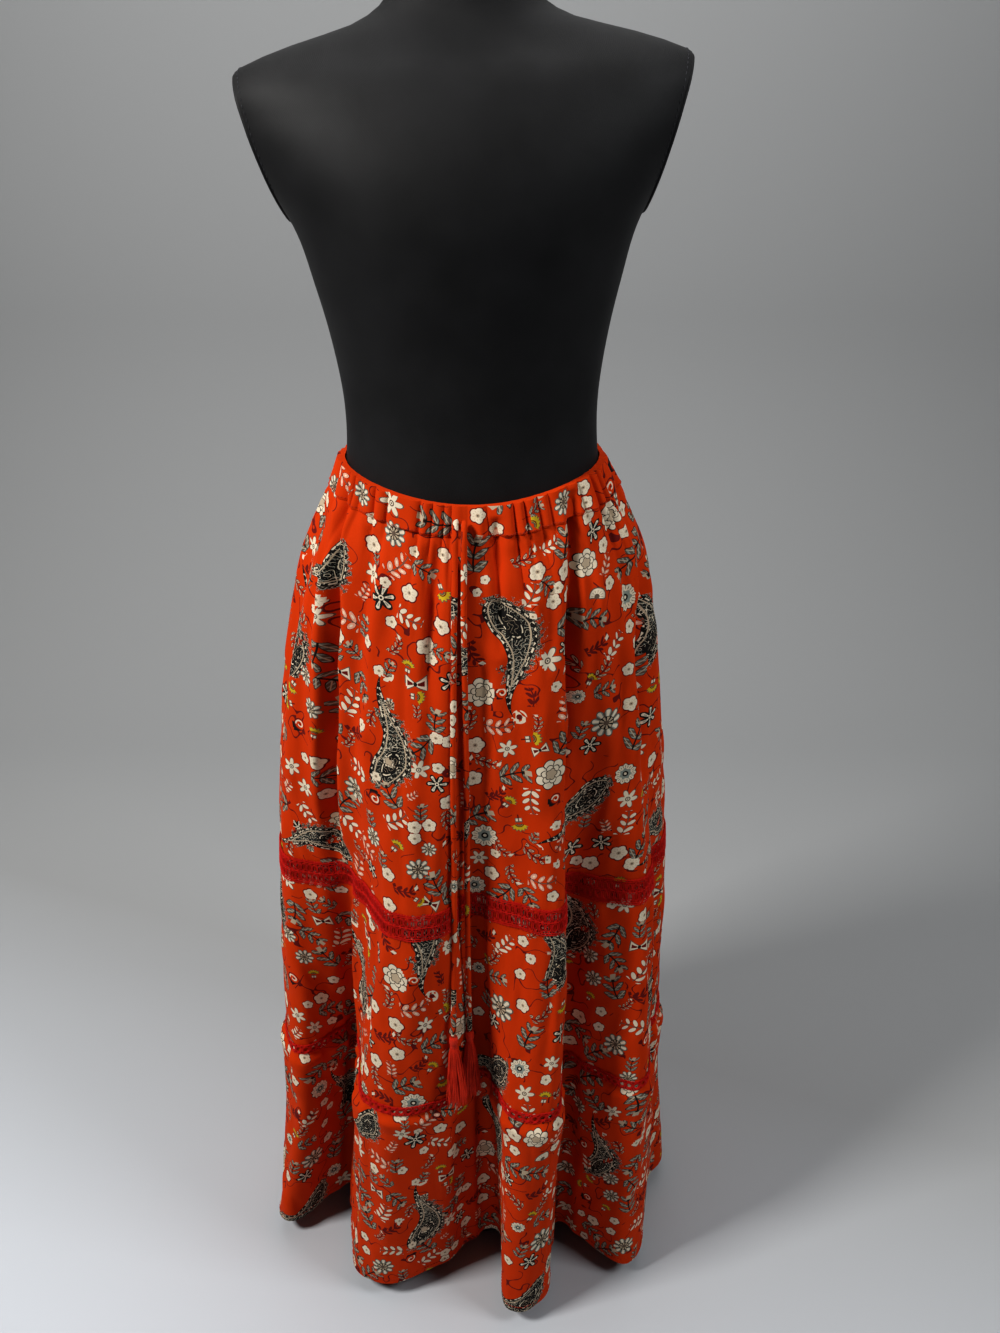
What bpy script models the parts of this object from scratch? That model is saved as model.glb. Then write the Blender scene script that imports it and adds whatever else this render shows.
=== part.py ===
"""Tiered midi skirt on a limbless dress form: gathered waistband, three tiers, lace trims, tasselled ties.

Metres, +Z up. The origin is on the floor at the centre of the stand's base, and the front faces -Y.
A plan angle is measured at the vertical axis from the front, and grows towards +X.
"""

import math
from collections import namedtuple

import bmesh
import bpy
import numpy as np
from mathutils import Vector

# Heights over the floor, and drops below the side of the waist.
WAIST_HEIGHT = 0.968
CASING_DROP = 0.029
UPPER_SEAM_DROP = 0.425
LOWER_SEAM_DROP = 0.658
HEM_DROP = 0.943
FRONT_DIP = 0.026
BACK_RISE = 0.008
DIP_POWER = 1.5

# Walls and gaps.
CLOTH = 0.0016
CASING = 0.0028
LACE = 0.0012
SEAM_GAP = 0.0003
FORM_CLEARANCE = 0.0008
LACE_HALF_HEIGHT = 0.015
TRIM_HALF_HEIGHT = 0.0065

# Columns of faces and gathers in the front half, and in the back half.
HALF_COLUMNS = 48
HALF_GATHERS = 24
GATHER_SAMPLES = 4
WAIST_GATHER = 0.0040
EDGE_GATHER = 0.0022
WAIST_GATHER_FADE = 0.040
TIER_GATHER = 0.0055
TIER_GATHER_START = 0.010
TIER_GATHER_FADE = 0.055
SIDE_SEAM_TURN = 0.0002

# Folds: how far a curve's handles reach along its segments, how fast the folds die out towards the waist,
# and the drops and samples that spread the columns evenly over them.
HOLD = 0.34
FOLD_FADE = 1.7
SPACING_DROPS = (0.150, UPPER_SEAM_DROP, LOWER_SEAM_DROP, HEM_DROP)
SEGMENT_SAMPLES = 16
NORMAL_STEP = 1e-4

# The form's level sections: height over the waist, half width, and depth to the front and to the back.
FormSection = namedtuple("FormSection", "height half_width front back")
FORM_SECTIONS = (
    FormSection(-0.270, 0.120, 0.072, 0.085),
    FormSection(-0.262, 0.145, 0.090, 0.104),
    FormSection(-0.235, 0.162, 0.102, 0.119),
    FormSection(-0.185, 0.168, 0.106, 0.125),
    FormSection(-0.130, 0.161, 0.104, 0.120),
    FormSection(-0.080, 0.144, 0.099, 0.110),
    FormSection(-0.035, 0.125, 0.094, 0.099),
    FormSection(0.000, 0.1185, 0.092, 0.095),
    FormSection(0.045, 0.1165, 0.094, 0.093),
    FormSection(0.100, 0.1230, 0.101, 0.094),
    FormSection(0.150, 0.1340, 0.112, 0.098),
    FormSection(0.200, 0.1490, 0.120, 0.101),
    FormSection(0.240, 0.1740, 0.116, 0.102),
    FormSection(0.275, 0.1940, 0.103, 0.099),
    FormSection(0.303, 0.1990, 0.086, 0.092),
    FormSection(0.319, 0.1820, 0.070, 0.083),
    FormSection(0.332, 0.1420, 0.060, 0.075),
    FormSection(0.344, 0.0930, 0.054, 0.066),
    FormSection(0.357, 0.0670, 0.051, 0.059),
    FormSection(0.376, 0.0565, 0.049, 0.054),
    FormSection(0.420, 0.0545, 0.050, 0.052),
)
FORM_SQUARENESS = 2.15
FORM_COLUMNS = 36
FORM_LEAN = -0.012
SHOULDER_TILT = 0.038
SHOULDER_RISE = 0.30
PLATE_TOP = (0.1785, 0.300)
PLATE_FOOT = (0.1478, 0.195)
SHOULDER_FOOT = 0.145
PLATE_THICKNESS = 0.0024
PLATE_INSET = 0.0010
NECK_CAP_THICKNESS = 0.0040
NECK_CAP_INSET = 0.0008
PLATE_EDGE_START = 0.6
PLATE_EDGE_DRAW = 3.2

# The skirt's sections before it folds: drop, half width, depth to the front and to the back, and how much
# fuller the right side is than the left.
SkirtSection = namedtuple("SkirtSection", "drop half_width front back right_fullness")
SKIRT_SECTIONS = (
    SkirtSection(0.000, 0.1220, 0.0970, 0.0990, 0.001),
    SkirtSection(CASING_DROP, 0.1345, 0.1060, 0.1090, 0.003),
    SkirtSection(0.080, 0.1610, 0.1260, 0.1310, 0.004),
    SkirtSection(0.150, 0.1800, 0.1390, 0.1470, 0.001),
    SkirtSection(0.260, 0.1980, 0.1530, 0.1620, -0.003),
    SkirtSection(UPPER_SEAM_DROP, 0.2110, 0.1670, 0.1760, -0.003),
)

# Ridges and valleys of the folds, from the left seam over the front and round the back:
# plan angle in degrees and radius at the upper seam, at the lower seam and at the hem.
Fold = namedtuple("Fold", "upper_angle upper_radius lower_angle lower_radius hem_angle hem_radius")
FRONT_FOLDS = {
    "left_seam_ridge": Fold(-92, 0.210, -89, 0.219, -87, 0.238),
    "left_ridge": Fold(-70, 0.211, -64, 0.220, -69, 0.262),
    "left_valley": Fold(-56, 0.160, -68, 0.154, -72, 0.175),
    "centre_left_flank": Fold(-43, 0.162, -50, 0.172, -58, 0.188),
    "centre_left_ridge": Fold(-24, 0.183, -33, 0.204, -36, 0.218),
    "centre_left_face": Fold(-13, 0.174, -12, 0.176, -15, 0.154),
    "centre_valley": Fold(-2, 0.134, 3, 0.130, 8, 0.110),
    "centre_ridge_left": Fold(16, 0.158, 12, 0.189, 11, 0.212),
    "centre_ridge_right": Fold(26, 0.181, 22, 0.204, 20, 0.213),
    "centre_right_valley": Fold(42, 0.142, 41, 0.152, 43, 0.147),
    "right_ridge": Fold(57, 0.203, 51, 0.230, 50, 0.239),
    "right_valley": Fold(72, 0.199, 71, 0.204, 75, 0.210),
    "right_seam_ridge": Fold(91, 0.209, 90, 0.218, 93, 0.247),
}
BACK_FOLDS = {
    "right_back_valley": Fold(109, 0.181, 110, 0.172, 111, 0.170),
    "right_back_ridge": Fold(126, 0.204, 127, 0.219, 125, 0.243),
    "right_centre_valley": Fold(143, 0.165, 142, 0.158, 143, 0.150),
    "right_centre_ridge": Fold(160, 0.193, 159, 0.208, 161, 0.226),
    "back_valley": Fold(177, 0.152, 175, 0.146, 176, 0.134),
    "back_ridge": Fold(190, 0.190, 192, 0.211, 191, 0.232),
    "left_centre_valley": Fold(206, 0.160, 205, 0.150, 207, 0.153),
    "left_centre_ridge": Fold(222, 0.203, 221, 0.219, 223, 0.240),
    "left_back_valley": Fold(239, 0.173, 238, 0.164, 240, 0.162),
    "left_back_ridge": Fold(252, 0.211, 251, 0.226, 252, 0.251),
    "left_seam_valley": Fold(261, 0.205, 260, 0.206, 262, 0.205),
}

# Rows of the walls, as drops. A row marked GATHERED has four points a gather.
PLAIN, GATHERED = 1, 2
UPPER_ROWS = (
    (CASING_DROP + SEAM_GAP, GATHERED),
    (0.058, GATHERED),
    (0.100, PLAIN),
    (0.170, PLAIN),
    (0.250, PLAIN),
    (0.335, PLAIN),
    (UPPER_SEAM_DROP - LACE_HALF_HEIGHT, PLAIN),
    (UPPER_SEAM_DROP - SEAM_GAP / 2, PLAIN),
)
MIDDLE_ROWS = (
    (UPPER_SEAM_DROP + SEAM_GAP / 2, PLAIN),
    (UPPER_SEAM_DROP + LACE_HALF_HEIGHT, PLAIN),
    (0.510, PLAIN),
    (0.585, PLAIN),
    (LOWER_SEAM_DROP - TRIM_HALF_HEIGHT, PLAIN),
    (LOWER_SEAM_DROP - SEAM_GAP / 2, PLAIN),
)
LOWER_ROWS = (
    (LOWER_SEAM_DROP + SEAM_GAP / 2, PLAIN),
    (LOWER_SEAM_DROP + TRIM_HALF_HEIGHT, PLAIN),
    (0.678, GATHERED),
    (0.704, GATHERED),
    (0.760, PLAIN),
    (0.845, PLAIN),
    (HEM_DROP, PLAIN),
)
LACE_ROWS = (
    (UPPER_SEAM_DROP - LACE_HALF_HEIGHT, PLAIN),
    (UPPER_SEAM_DROP, PLAIN),
    (UPPER_SEAM_DROP + LACE_HALF_HEIGHT, PLAIN),
)
TRIM_ROWS = (
    (LOWER_SEAM_DROP - TRIM_HALF_HEIGHT, PLAIN),
    (LOWER_SEAM_DROP, PLAIN),
    (LOWER_SEAM_DROP + TRIM_HALF_HEIGHT, PLAIN),
)

# Stand.
BASE_RADIUS = 0.094
BASE_HEIGHT = 0.012
BASE_EDGE = 0.004
POLE_RADIUS = 0.0125
COLLAR_RADIUS = 0.024
COLLAR_HEIGHT = 0.030
FLANGE_RADIUS = 0.045
FLANGE_HEIGHT = 0.008
TURN_STEPS = 32

# Ties: the middle line of each, from where it leaves the casing down to its tassel's head.
TIE_DIAMETER = 0.0058
TIE_STEP = 0.019
BEND_POINTS = 4
LEFT_TIE_ROUTE = (
    (-0.0125, -0.1027, 0.9300),
    (-0.0126, -0.1089, 0.9286),
    (-0.0127, -0.1135, 0.9240),
    (-0.0128, -0.1168, 0.9165),
    (-0.0130, -0.1188, 0.9060),
    (-0.0133, -0.1225, 0.8890),
    (-0.0138, -0.1290, 0.8670),
    (-0.0144, -0.1338, 0.8440),
    (-0.0150, -0.1384, 0.8150),
    (-0.0158, -0.1428, 0.7800),
    (-0.0166, -0.1466, 0.7400),
    (-0.0174, -0.1494, 0.7000),
    (-0.0180, -0.1513, 0.6550),
    (-0.0181, -0.1535, 0.6100),
    (-0.0184, -0.1560, 0.5650),
    (-0.0192, -0.1580, 0.5200),
    (-0.0204, -0.1604, 0.4750),
    (-0.0214, -0.1642, 0.4350),
    (-0.0220, -0.1690, 0.4020),
)
RIGHT_TIE_ROUTE = (
    (-0.0050, -0.1050, 0.9290),
    (-0.0050, -0.1102, 0.9277),
    (-0.0050, -0.1142, 0.9232),
    (-0.0051, -0.1174, 0.9160),
    (-0.0052, -0.1194, 0.9050),
    (-0.0054, -0.1236, 0.8870),
    (-0.0056, -0.1294, 0.8660),
    (-0.0057, -0.1336, 0.8430),
    (-0.0056, -0.1374, 0.8140),
    (-0.0054, -0.1406, 0.7780),
    (-0.0053, -0.1428, 0.7380),
    (-0.0054, -0.1439, 0.6950),
    (-0.0056, -0.1443, 0.6500),
    (-0.0059, -0.1444, 0.6050),
    (-0.0062, -0.1445, 0.5600),
    (-0.0064, -0.1447, 0.5150),
    (-0.0064, -0.1451, 0.4700),
    (-0.0062, -0.1458, 0.4250),
    (-0.0060, -0.1466, 0.3880),
)

# Tassels: turned head as (radius, depth below the top), then strands that spread and lean out with the cloth.
TASSEL_LENGTH = 0.080
TASSEL_HEAD = (
    (0.0030, 0.0),
    (0.0045, 0.0020),
    (0.0048, 0.0070),
    (0.0034, 0.0100),
    (0.0034, 0.0125),
    (0.0046, 0.0155),
)
TASSEL_SIDES = 12
TASSEL_GAP = 0.0006
TASSEL_SPREAD = 2.15
STRAND_SLIMNESS = 0.85
STRAND_UNEVENNESS = 0.006
LEFT_TASSEL_LEAN = (0.0035, -0.0120)
RIGHT_TASSEL_LEAN = (0.0012, -0.0075)

Finish = namedtuple("Finish", "colour roughness metallic")
FORM_BLACK = Finish((0.012, 0.012, 0.013), 0.72, 0.0)
STAND_BLACK = Finish((0.020, 0.020, 0.022), 0.38, 0.6)
PRINTED_CLOTH = Finish((0.560, 0.075, 0.025), 0.74, 0.0)
LACE_RED = Finish((0.420, 0.022, 0.016), 0.80, 0.0)
TASSEL_RED = Finish((0.600, 0.085, 0.030), 0.78, 0.0)


def clear_scene():
    for obj in list(bpy.data.objects):
        bpy.data.objects.remove(obj, do_unlink=True)


def material(name, finish):
    made = bpy.data.materials.new(name)
    made.use_nodes = True
    shader = made.node_tree.nodes["Principled BSDF"]
    shader.inputs["Base Color"].default_value = (*finish.colour, 1.0)
    shader.inputs["Roughness"].default_value = finish.roughness
    shader.inputs["Metallic"].default_value = finish.metallic
    return made


def add_object(name, data, collection, finish):
    obj = bpy.data.objects.new(name, data)
    obj.data.materials.append(material(name, finish))
    collection.objects.link(obj)
    return obj


def mesh_of(bm, name):
    bmesh.ops.recalc_face_normals(bm, faces=bm.faces)
    mesh = bpy.data.meshes.new(name)
    bm.to_mesh(mesh)
    bm.free()
    mesh.shade_smooth()
    mesh.set_sharp_from_angle(angle=math.radians(50))
    return mesh


def smooth_through(x, knots, values):
    """Value at x of a smooth curve through values, one row for each knot."""
    knots = np.asarray(knots)
    values = np.asarray(values)
    slopes = np.gradient(values, knots, axis=0)
    i = int(np.clip(np.searchsorted(knots, x) - 1, 0, len(knots) - 2))
    width = knots[i + 1] - knots[i]
    u = min(max((x - knots[i]) / width, 0.0), 1.0)
    rise = u * u * (3 - 2 * u)
    leave = u * (1 - u) ** 2 * width
    arrive = u * u * (u - 1) * width
    return values[i] * (1 - rise) + values[i + 1] * rise + slopes[i] * leave + slopes[i + 1] * arrive


def oval_radius(angle, half_width, front, back, squareness=2.0):
    """Radius of an oval at a plan angle in radians."""
    depth = np.where(np.cos(angle) > 0, front, back)
    across = np.abs(np.sin(angle) / half_width) ** squareness
    along = np.abs(np.cos(angle) / depth) ** squareness
    return (across + along) ** (-1 / squareness)


def form_radius(angle, height):
    sizes = np.array(FORM_SECTIONS)
    rows = [np.interp(height, sizes[:, 0], sizes[:, k]) for k in (1, 2, 3)]
    return oval_radius(angle, *rows, FORM_SQUARENESS)


def waist_offset(angle):
    """How far the waist lies above the side of the waist: lower in front, a little higher behind."""
    toward_front = np.cos(angle)
    dip = FRONT_DIP * np.abs(toward_front) ** DIP_POWER
    return np.where(toward_front > 0, -dip, -BACK_RISE * toward_front)


def plain_radius(angle, drop):
    """Radius of the cloth's face without its folds. At the waist it lies on the form."""
    sizes = np.array(SKIRT_SECTIONS)
    half_width, front, back, fullness = smooth_through(drop, sizes[:, 0], sizes[:, 1:])
    hanging = oval_radius(angle, half_width, front, back) + fullness * np.sin(angle)
    if drop >= CASING_DROP:
        return hanging
    held = form_radius(angle, waist_offset(angle) - drop) + FORM_CLEARANCE + CASING
    return held + (hanging - held) * drop / CASING_DROP


class FoldedSection:
    """The cloth's level sections, as smooth closed curves through the ridges and valleys of its folds."""

    def __init__(self):
        folds = np.array([*FRONT_FOLDS.values(), *BACK_FOLDS.values()])
        self.angles = np.radians(folds[:, 0::2])
        self.radii = folds[:, 1::2]
        self.stations = (*(section.drop for section in SKIRT_SECTIONS), LOWER_SEAM_DROP, HEM_DROP)
        self.levels = self.radii_by_station()
        self.turns = self.knot_turns()

    def radii_by_station(self):
        upper = self.angles[:, 0]
        fold = self.radii[:, 0] - plain_radius(upper, UPPER_SEAM_DROP)
        levels = []
        for drop in self.stations[:-2]:
            share = (drop / UPPER_SEAM_DROP) ** FOLD_FADE
            levels.append(plain_radius(upper, drop) + fold * share)
        return [*levels, self.radii[:, 1], self.radii[:, 2]]

    def knots(self, drop):
        """Plan points of the ridges and valleys at a drop."""
        stations = (UPPER_SEAM_DROP, LOWER_SEAM_DROP, HEM_DROP)
        angle = smooth_through(max(drop, UPPER_SEAM_DROP), stations, self.angles.T)
        if drop < CASING_DROP:
            share = drop / CASING_DROP
            radius = self.levels[0] * (1 - share) + self.levels[1] * share
        else:
            radius = smooth_through(drop, self.stations[1:], self.levels[1:])
        return np.column_stack((radius * np.sin(angle), -radius * np.cos(angle)))

    def curve(self, points, segment, along):
        """Points on the closed curve through points, each in a segment and at a share along it."""
        count = len(points)
        chords = np.roll(points, -1, axis=0) - points
        lengths = np.linalg.norm(chords, axis=1)
        ways = chords / lengths[:, None]
        before = np.roll(lengths, 1)
        tangents = ways * before[:, None] + np.roll(ways, 1, axis=0) * lengths[:, None]
        tangents /= np.linalg.norm(tangents, axis=1)[:, None]
        after = (segment + 1) % count
        handle = (HOLD * lengths[segment])[:, None]
        start, end = points[segment], points[after]
        near = start + tangents[segment] * handle
        far = end - tangents[after] * handle
        u = along[:, None]
        v = 1 - u
        return start * v**3 + near * 3 * v * v * u + far * 3 * v * u * u + end * u**3

    def knot_turns(self):
        """Share of the way round at which each ridge or valley lies, half of it in the front."""
        count = len(self.angles)
        segment = np.arange(count).repeat(SEGMENT_SAMPLES)
        along = np.tile(np.arange(SEGMENT_SAMPLES) / SEGMENT_SAMPLES, count)
        length = np.zeros(count)
        for drop in SPACING_DROPS:
            points = self.curve(self.knots(drop), segment, along)
            steps = np.linalg.norm(np.roll(points, -1, axis=0) - points, axis=1)
            part = steps.reshape(count, SEGMENT_SAMPLES).sum(axis=1)
            length += part / part.sum()
        seam = len(FRONT_FOLDS) - 1
        front = length[:seam].cumsum() / length[:seam].sum() / 2
        back = length[seam:].cumsum() / length[seam:].sum() / 2 + 0.5
        return np.concatenate(([0.0], front, back))

    def plan(self, drop, turns):
        turns = np.asarray(turns) % 1.0
        segment = np.clip(np.searchsorted(self.turns, turns, side="right") - 1, 0, len(self.angles) - 1)
        along = (turns - self.turns[segment]) / (self.turns[segment + 1] - self.turns[segment])
        return self.curve(self.knots(drop), segment, along)

    def plan_and_normals(self, drop, turns):
        way = self.plan(drop, turns + NORMAL_STEP) - self.plan(drop, turns - NORMAL_STEP)
        way /= np.linalg.norm(way, axis=1)[:, None]
        return self.plan(drop, turns), np.column_stack((way[:, 1], -way[:, 0]))


SECTION = FoldedSection()


def gather_depth(drop):
    """Height of the gathers: ruffled at the waist, deepest at the casing's seam and below the lower seam."""
    if drop < CASING_DROP:
        return EDGE_GATHER + (WAIST_GATHER - EDGE_GATHER) * drop / CASING_DROP
    if drop < UPPER_SEAM_DROP:
        return WAIST_GATHER * math.exp(-(drop - CASING_DROP) / WAIST_GATHER_FADE)
    below = drop - LOWER_SEAM_DROP - TRIM_HALF_HEIGHT
    if below <= 0:
        return 0.0
    return TIER_GATHER * min(below / TIER_GATHER_START, 1.0) * math.exp(-below / TIER_GATHER_FADE)


def gather_wave(turns):
    """Gathers round the skirt from 0 to 1, no two of one height."""
    wave = (1 - np.cos(4 * math.pi * HALF_GATHERS * turns)) / 2
    uneven = 0.78 + 0.15 * np.sin(2 * math.pi * 7 * turns + 1.0) + 0.07 * np.sin(2 * math.pi * 17 * turns)
    return wave * uneven


def cloth_row(drop, turns, outset, gathered=False):
    """Points of the cloth's face at a drop, moved out by outset, with the gathers where gathered is set."""
    plan, normals = SECTION.plan_and_normals(drop, turns)
    out = np.full(len(turns), outset)
    if gathered:
        out = out + gather_depth(drop) * gather_wave(turns)
    plan = plan + normals * out[:, None]
    angle = np.arctan2(plan[:, 0], -plan[:, 1])
    fade = max(1 - drop / UPPER_SEAM_DROP, 0.0)
    height = WAIST_HEIGHT - drop + waist_offset(angle) * fade
    return np.column_stack((plan, height))


def half_turns(start, density):
    """Places of a half's points, from just past one side seam to just before the other."""
    turns = start + np.linspace(0, 0.5, HALF_COLUMNS * density + 1)
    turns[0] += SIDE_SEAM_TURN
    turns[-1] -= SIDE_SEAM_TURN
    return turns


def stitch(bm, upper, lower):
    """Triangles between two rows of vertices that may differ in number."""
    i = j = 0
    while i < len(upper) - 1 or j < len(lower) - 1:
        upper_next = (i + 1) / (len(upper) - 1)
        lower_next = (j + 1) / (len(lower) - 1)
        if upper_next <= lower_next + 1e-9:
            bm.faces.new((upper[i], upper[i + 1], lower[j]))
            i += 1
        else:
            bm.faces.new((upper[i], lower[j + 1], lower[j]))
            j += 1


def wall_mesh(name, outer, inner, closed=False):
    """A closed wall between rows of outer points and rows of inner points, each from the top down."""
    bm = bmesh.new()
    faces = []
    for side in (outer, inner):
        rows = [[bm.verts.new(point) for point in row] for row in side]
        for row in rows:
            if closed:
                row.append(row[0])
        for above, below in zip(rows, rows[1:]):
            stitch(bm, above, below)
        faces.append(rows)
    outer_rows, inner_rows = faces
    stitch(bm, outer_rows[0], inner_rows[0])
    stitch(bm, outer_rows[-1], inner_rows[-1])
    if not closed:
        for end in (0, -1):
            for k in range(len(outer_rows) - 1):
                bm.faces.new((outer_rows[k][end], outer_rows[k + 1][end], inner_rows[k][end]))
                bm.faces.new((outer_rows[k + 1][end], inner_rows[k + 1][end], inner_rows[k][end]))
    return mesh_of(bm, name)


def half_wall(name, start, rows, thickness, outset, collection, finish):
    outer = []
    inner = []
    for drop, density in rows:
        gathered = density == GATHERED
        outer.append(cloth_row(drop, half_turns(start, density), outset + thickness, gathered))
        inner.append(cloth_row(drop, half_turns(start, PLAIN), outset))
    add_object(name, wall_mesh(name, outer, inner), collection, finish)


def build_waistband(collection):
    outer_turns = np.arange(2 * HALF_GATHERS * GATHER_SAMPLES) / (2 * HALF_GATHERS * GATHER_SAMPLES)
    inner_turns = outer_turns[::2]
    foot = CASING_DROP
    outer = [cloth_row(drop, outer_turns, 0.0, gathered=True) for drop in (0.0, foot / 2, foot)]
    inner = [cloth_row(drop, inner_turns, -CASING) for drop in (0.0, foot)]
    add_object("waistband", wall_mesh("waistband", outer, inner, closed=True), collection, PRINTED_CLOTH)


def build_tiers(collection):
    panels = (
        ("upper_tier", UPPER_ROWS, CLOTH, -CLOTH, PRINTED_CLOTH),
        ("middle_tier", MIDDLE_ROWS, CLOTH, -CLOTH, PRINTED_CLOTH),
        ("lower_tier", LOWER_ROWS, CLOTH, -CLOTH, PRINTED_CLOTH),
        ("wide_lace", LACE_ROWS, LACE, SEAM_GAP, LACE_RED),
        ("narrow_lace", TRIM_ROWS, LACE, SEAM_GAP, LACE_RED),
    )
    for name, rows, thickness, outset, finish in panels:
        half_wall(name + "_front", 0.0, rows, thickness, outset, collection, finish)
        half_wall(name + "_back", 0.5, rows, thickness, outset, collection, finish)


def leaned(point):
    """A point of the form, shifted and tilted as the form leans on its pole above the waist."""
    x, y, z = point
    above = max(z - WAIST_HEIGHT, 0.0)
    tilt = SHOULDER_TILT * min(above / SHOULDER_RISE, 1.0)
    return Vector((x + FORM_LEAN * above, y, z + x * tilt))


def form_ring(bm, section):
    ring = []
    for k in range(FORM_COLUMNS):
        phase = 2 * math.pi * k / FORM_COLUMNS
        depth = section.front if math.cos(phase) > 0 else section.back
        angle = math.atan2(section.half_width * math.sin(phase), depth * math.cos(phase))
        radius = float(oval_radius(angle, section.half_width, section.front, section.back, FORM_SQUARENESS))
        place = (radius * math.sin(angle), -radius * math.cos(angle), WAIST_HEIGHT + section.height)
        ring.append(bm.verts.new(leaned(place)))
    return ring


def shoulder_cut(bm, side):
    """Cuts a shoulder off flat, fills the cut and returns its outline and the way it faces."""
    top, foot = (leaned((side * x, 0.0, WAIST_HEIGHT + height)) for x, height in (PLATE_TOP, PLATE_FOOT))
    facing = Vector((0.0, side, 0.0)).cross(top - foot).normalized()
    floor = WAIST_HEIGHT + SHOULDER_FOOT
    faces = [face for face in bm.faces if min(vert.co.z for vert in face.verts) > floor]
    geometry = list(dict.fromkeys(item for face in faces for item in (*face.verts, *face.edges))) + faces
    cut = bmesh.ops.bisect_plane(bm, geom=geometry, plane_co=foot, plane_no=facing, clear_outer=True)
    edges = [item for item in cut["geom_cut"] if isinstance(item, bmesh.types.BMEdge)]
    face = bmesh.ops.contextual_create(bm, geom=edges)["faces"][0]
    return [vert.co.copy() for vert in face.verts], facing


def plate_mesh(name, outline, facing, thickness, inset):
    """A flat plate just off an outline, with its outer edge drawn in."""
    middle = sum(outline, Vector()) / len(outline)
    steps = (
        (SEAM_GAP, inset),
        (SEAM_GAP + thickness * PLATE_EDGE_START, inset),
        (SEAM_GAP + thickness, inset * PLATE_EDGE_DRAW),
    )
    bm = bmesh.new()
    rows = []
    for out, draw_in in steps:
        row = [point + facing * out + (middle - point).normalized() * draw_in for point in outline]
        rows.append([bm.verts.new(point) for point in row])
    for near, far in zip(rows, rows[1:]):
        for k in range(len(near)):
            after = (k + 1) % len(near)
            bm.faces.new((near[k], near[after], far[after], far[k]))
    bm.faces.new(rows[0])
    bm.faces.new(rows[-1])
    return mesh_of(bm, name)


def build_form(collection):
    bm = bmesh.new()
    rings = [form_ring(bm, section) for section in FORM_SECTIONS]
    for below, above in zip(rings, rings[1:]):
        for k in range(FORM_COLUMNS):
            after = (k + 1) % FORM_COLUMNS
            bm.faces.new((below[k], below[after], above[after], above[k]))
    bm.faces.new(rings[0])
    bm.faces.new(rings[-1])
    neck = [vert.co.copy() for vert in rings[-1]]
    for name, side in (("form_left_plate", -1), ("form_right_plate", 1)):
        outline, facing = shoulder_cut(bm, side)
        plate = plate_mesh(name, outline, facing, PLATE_THICKNESS, PLATE_INSET)
        add_object(name, plate, collection, FORM_BLACK)
    cap = plate_mesh("form_neck_cap", neck, Vector((0, 0, 1)), NECK_CAP_THICKNESS, NECK_CAP_INSET)
    add_object("form_neck_cap", cap, collection, FORM_BLACK)
    add_object("form_torso", mesh_of(bm, "form_torso"), collection, FORM_BLACK)


def turned(name, profile, collection, finish):
    """A turned solid from a profile of (radius, height), top to bottom, that starts and ends on the axis."""
    bm = bmesh.new()
    verts = [bm.verts.new((radius, 0.0, height)) for radius, height in profile]
    for first, second in zip(verts, verts[1:]):
        bm.edges.new((first, second))
    mesh = bpy.data.meshes.new(name)
    bm.to_mesh(mesh)
    bm.free()
    obj = add_object(name, mesh, collection, finish)
    screw = obj.modifiers.new("turn", "SCREW")
    screw.steps = TURN_STEPS
    screw.render_steps = TURN_STEPS
    screw.use_merge_vertices = True
    screw.merge_threshold = 0.0001


def route_curve(route):
    """Points along a smooth curve through a route: those of its first bend, then points TIE_STEP apart."""
    route = np.array(route)
    along = np.concatenate(([0.0], np.linalg.norm(np.diff(route, axis=0), axis=1).cumsum()))
    count = round(along[-1] / TIE_STEP)
    steps = np.concatenate((along[:BEND_POINTS], np.linspace(along[BEND_POINTS], along[-1], count)))
    return [smooth_through(step, along, route) for step in steps]


def build_tie(name, route, collection):
    points = route_curve(route)
    curve = bpy.data.curves.new(name, "CURVE")
    curve.dimensions = "3D"
    curve.bevel_depth = TIE_DIAMETER / 2
    curve.bevel_resolution = 2
    curve.use_fill_caps = True
    spline = curve.splines.new("POLY")
    spline.points.add(len(points) - 1)
    for place, point in zip(spline.points, points):
        place.co = (*point, 1.0)
    add_object(name, curve, collection, PRINTED_CLOTH)


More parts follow.
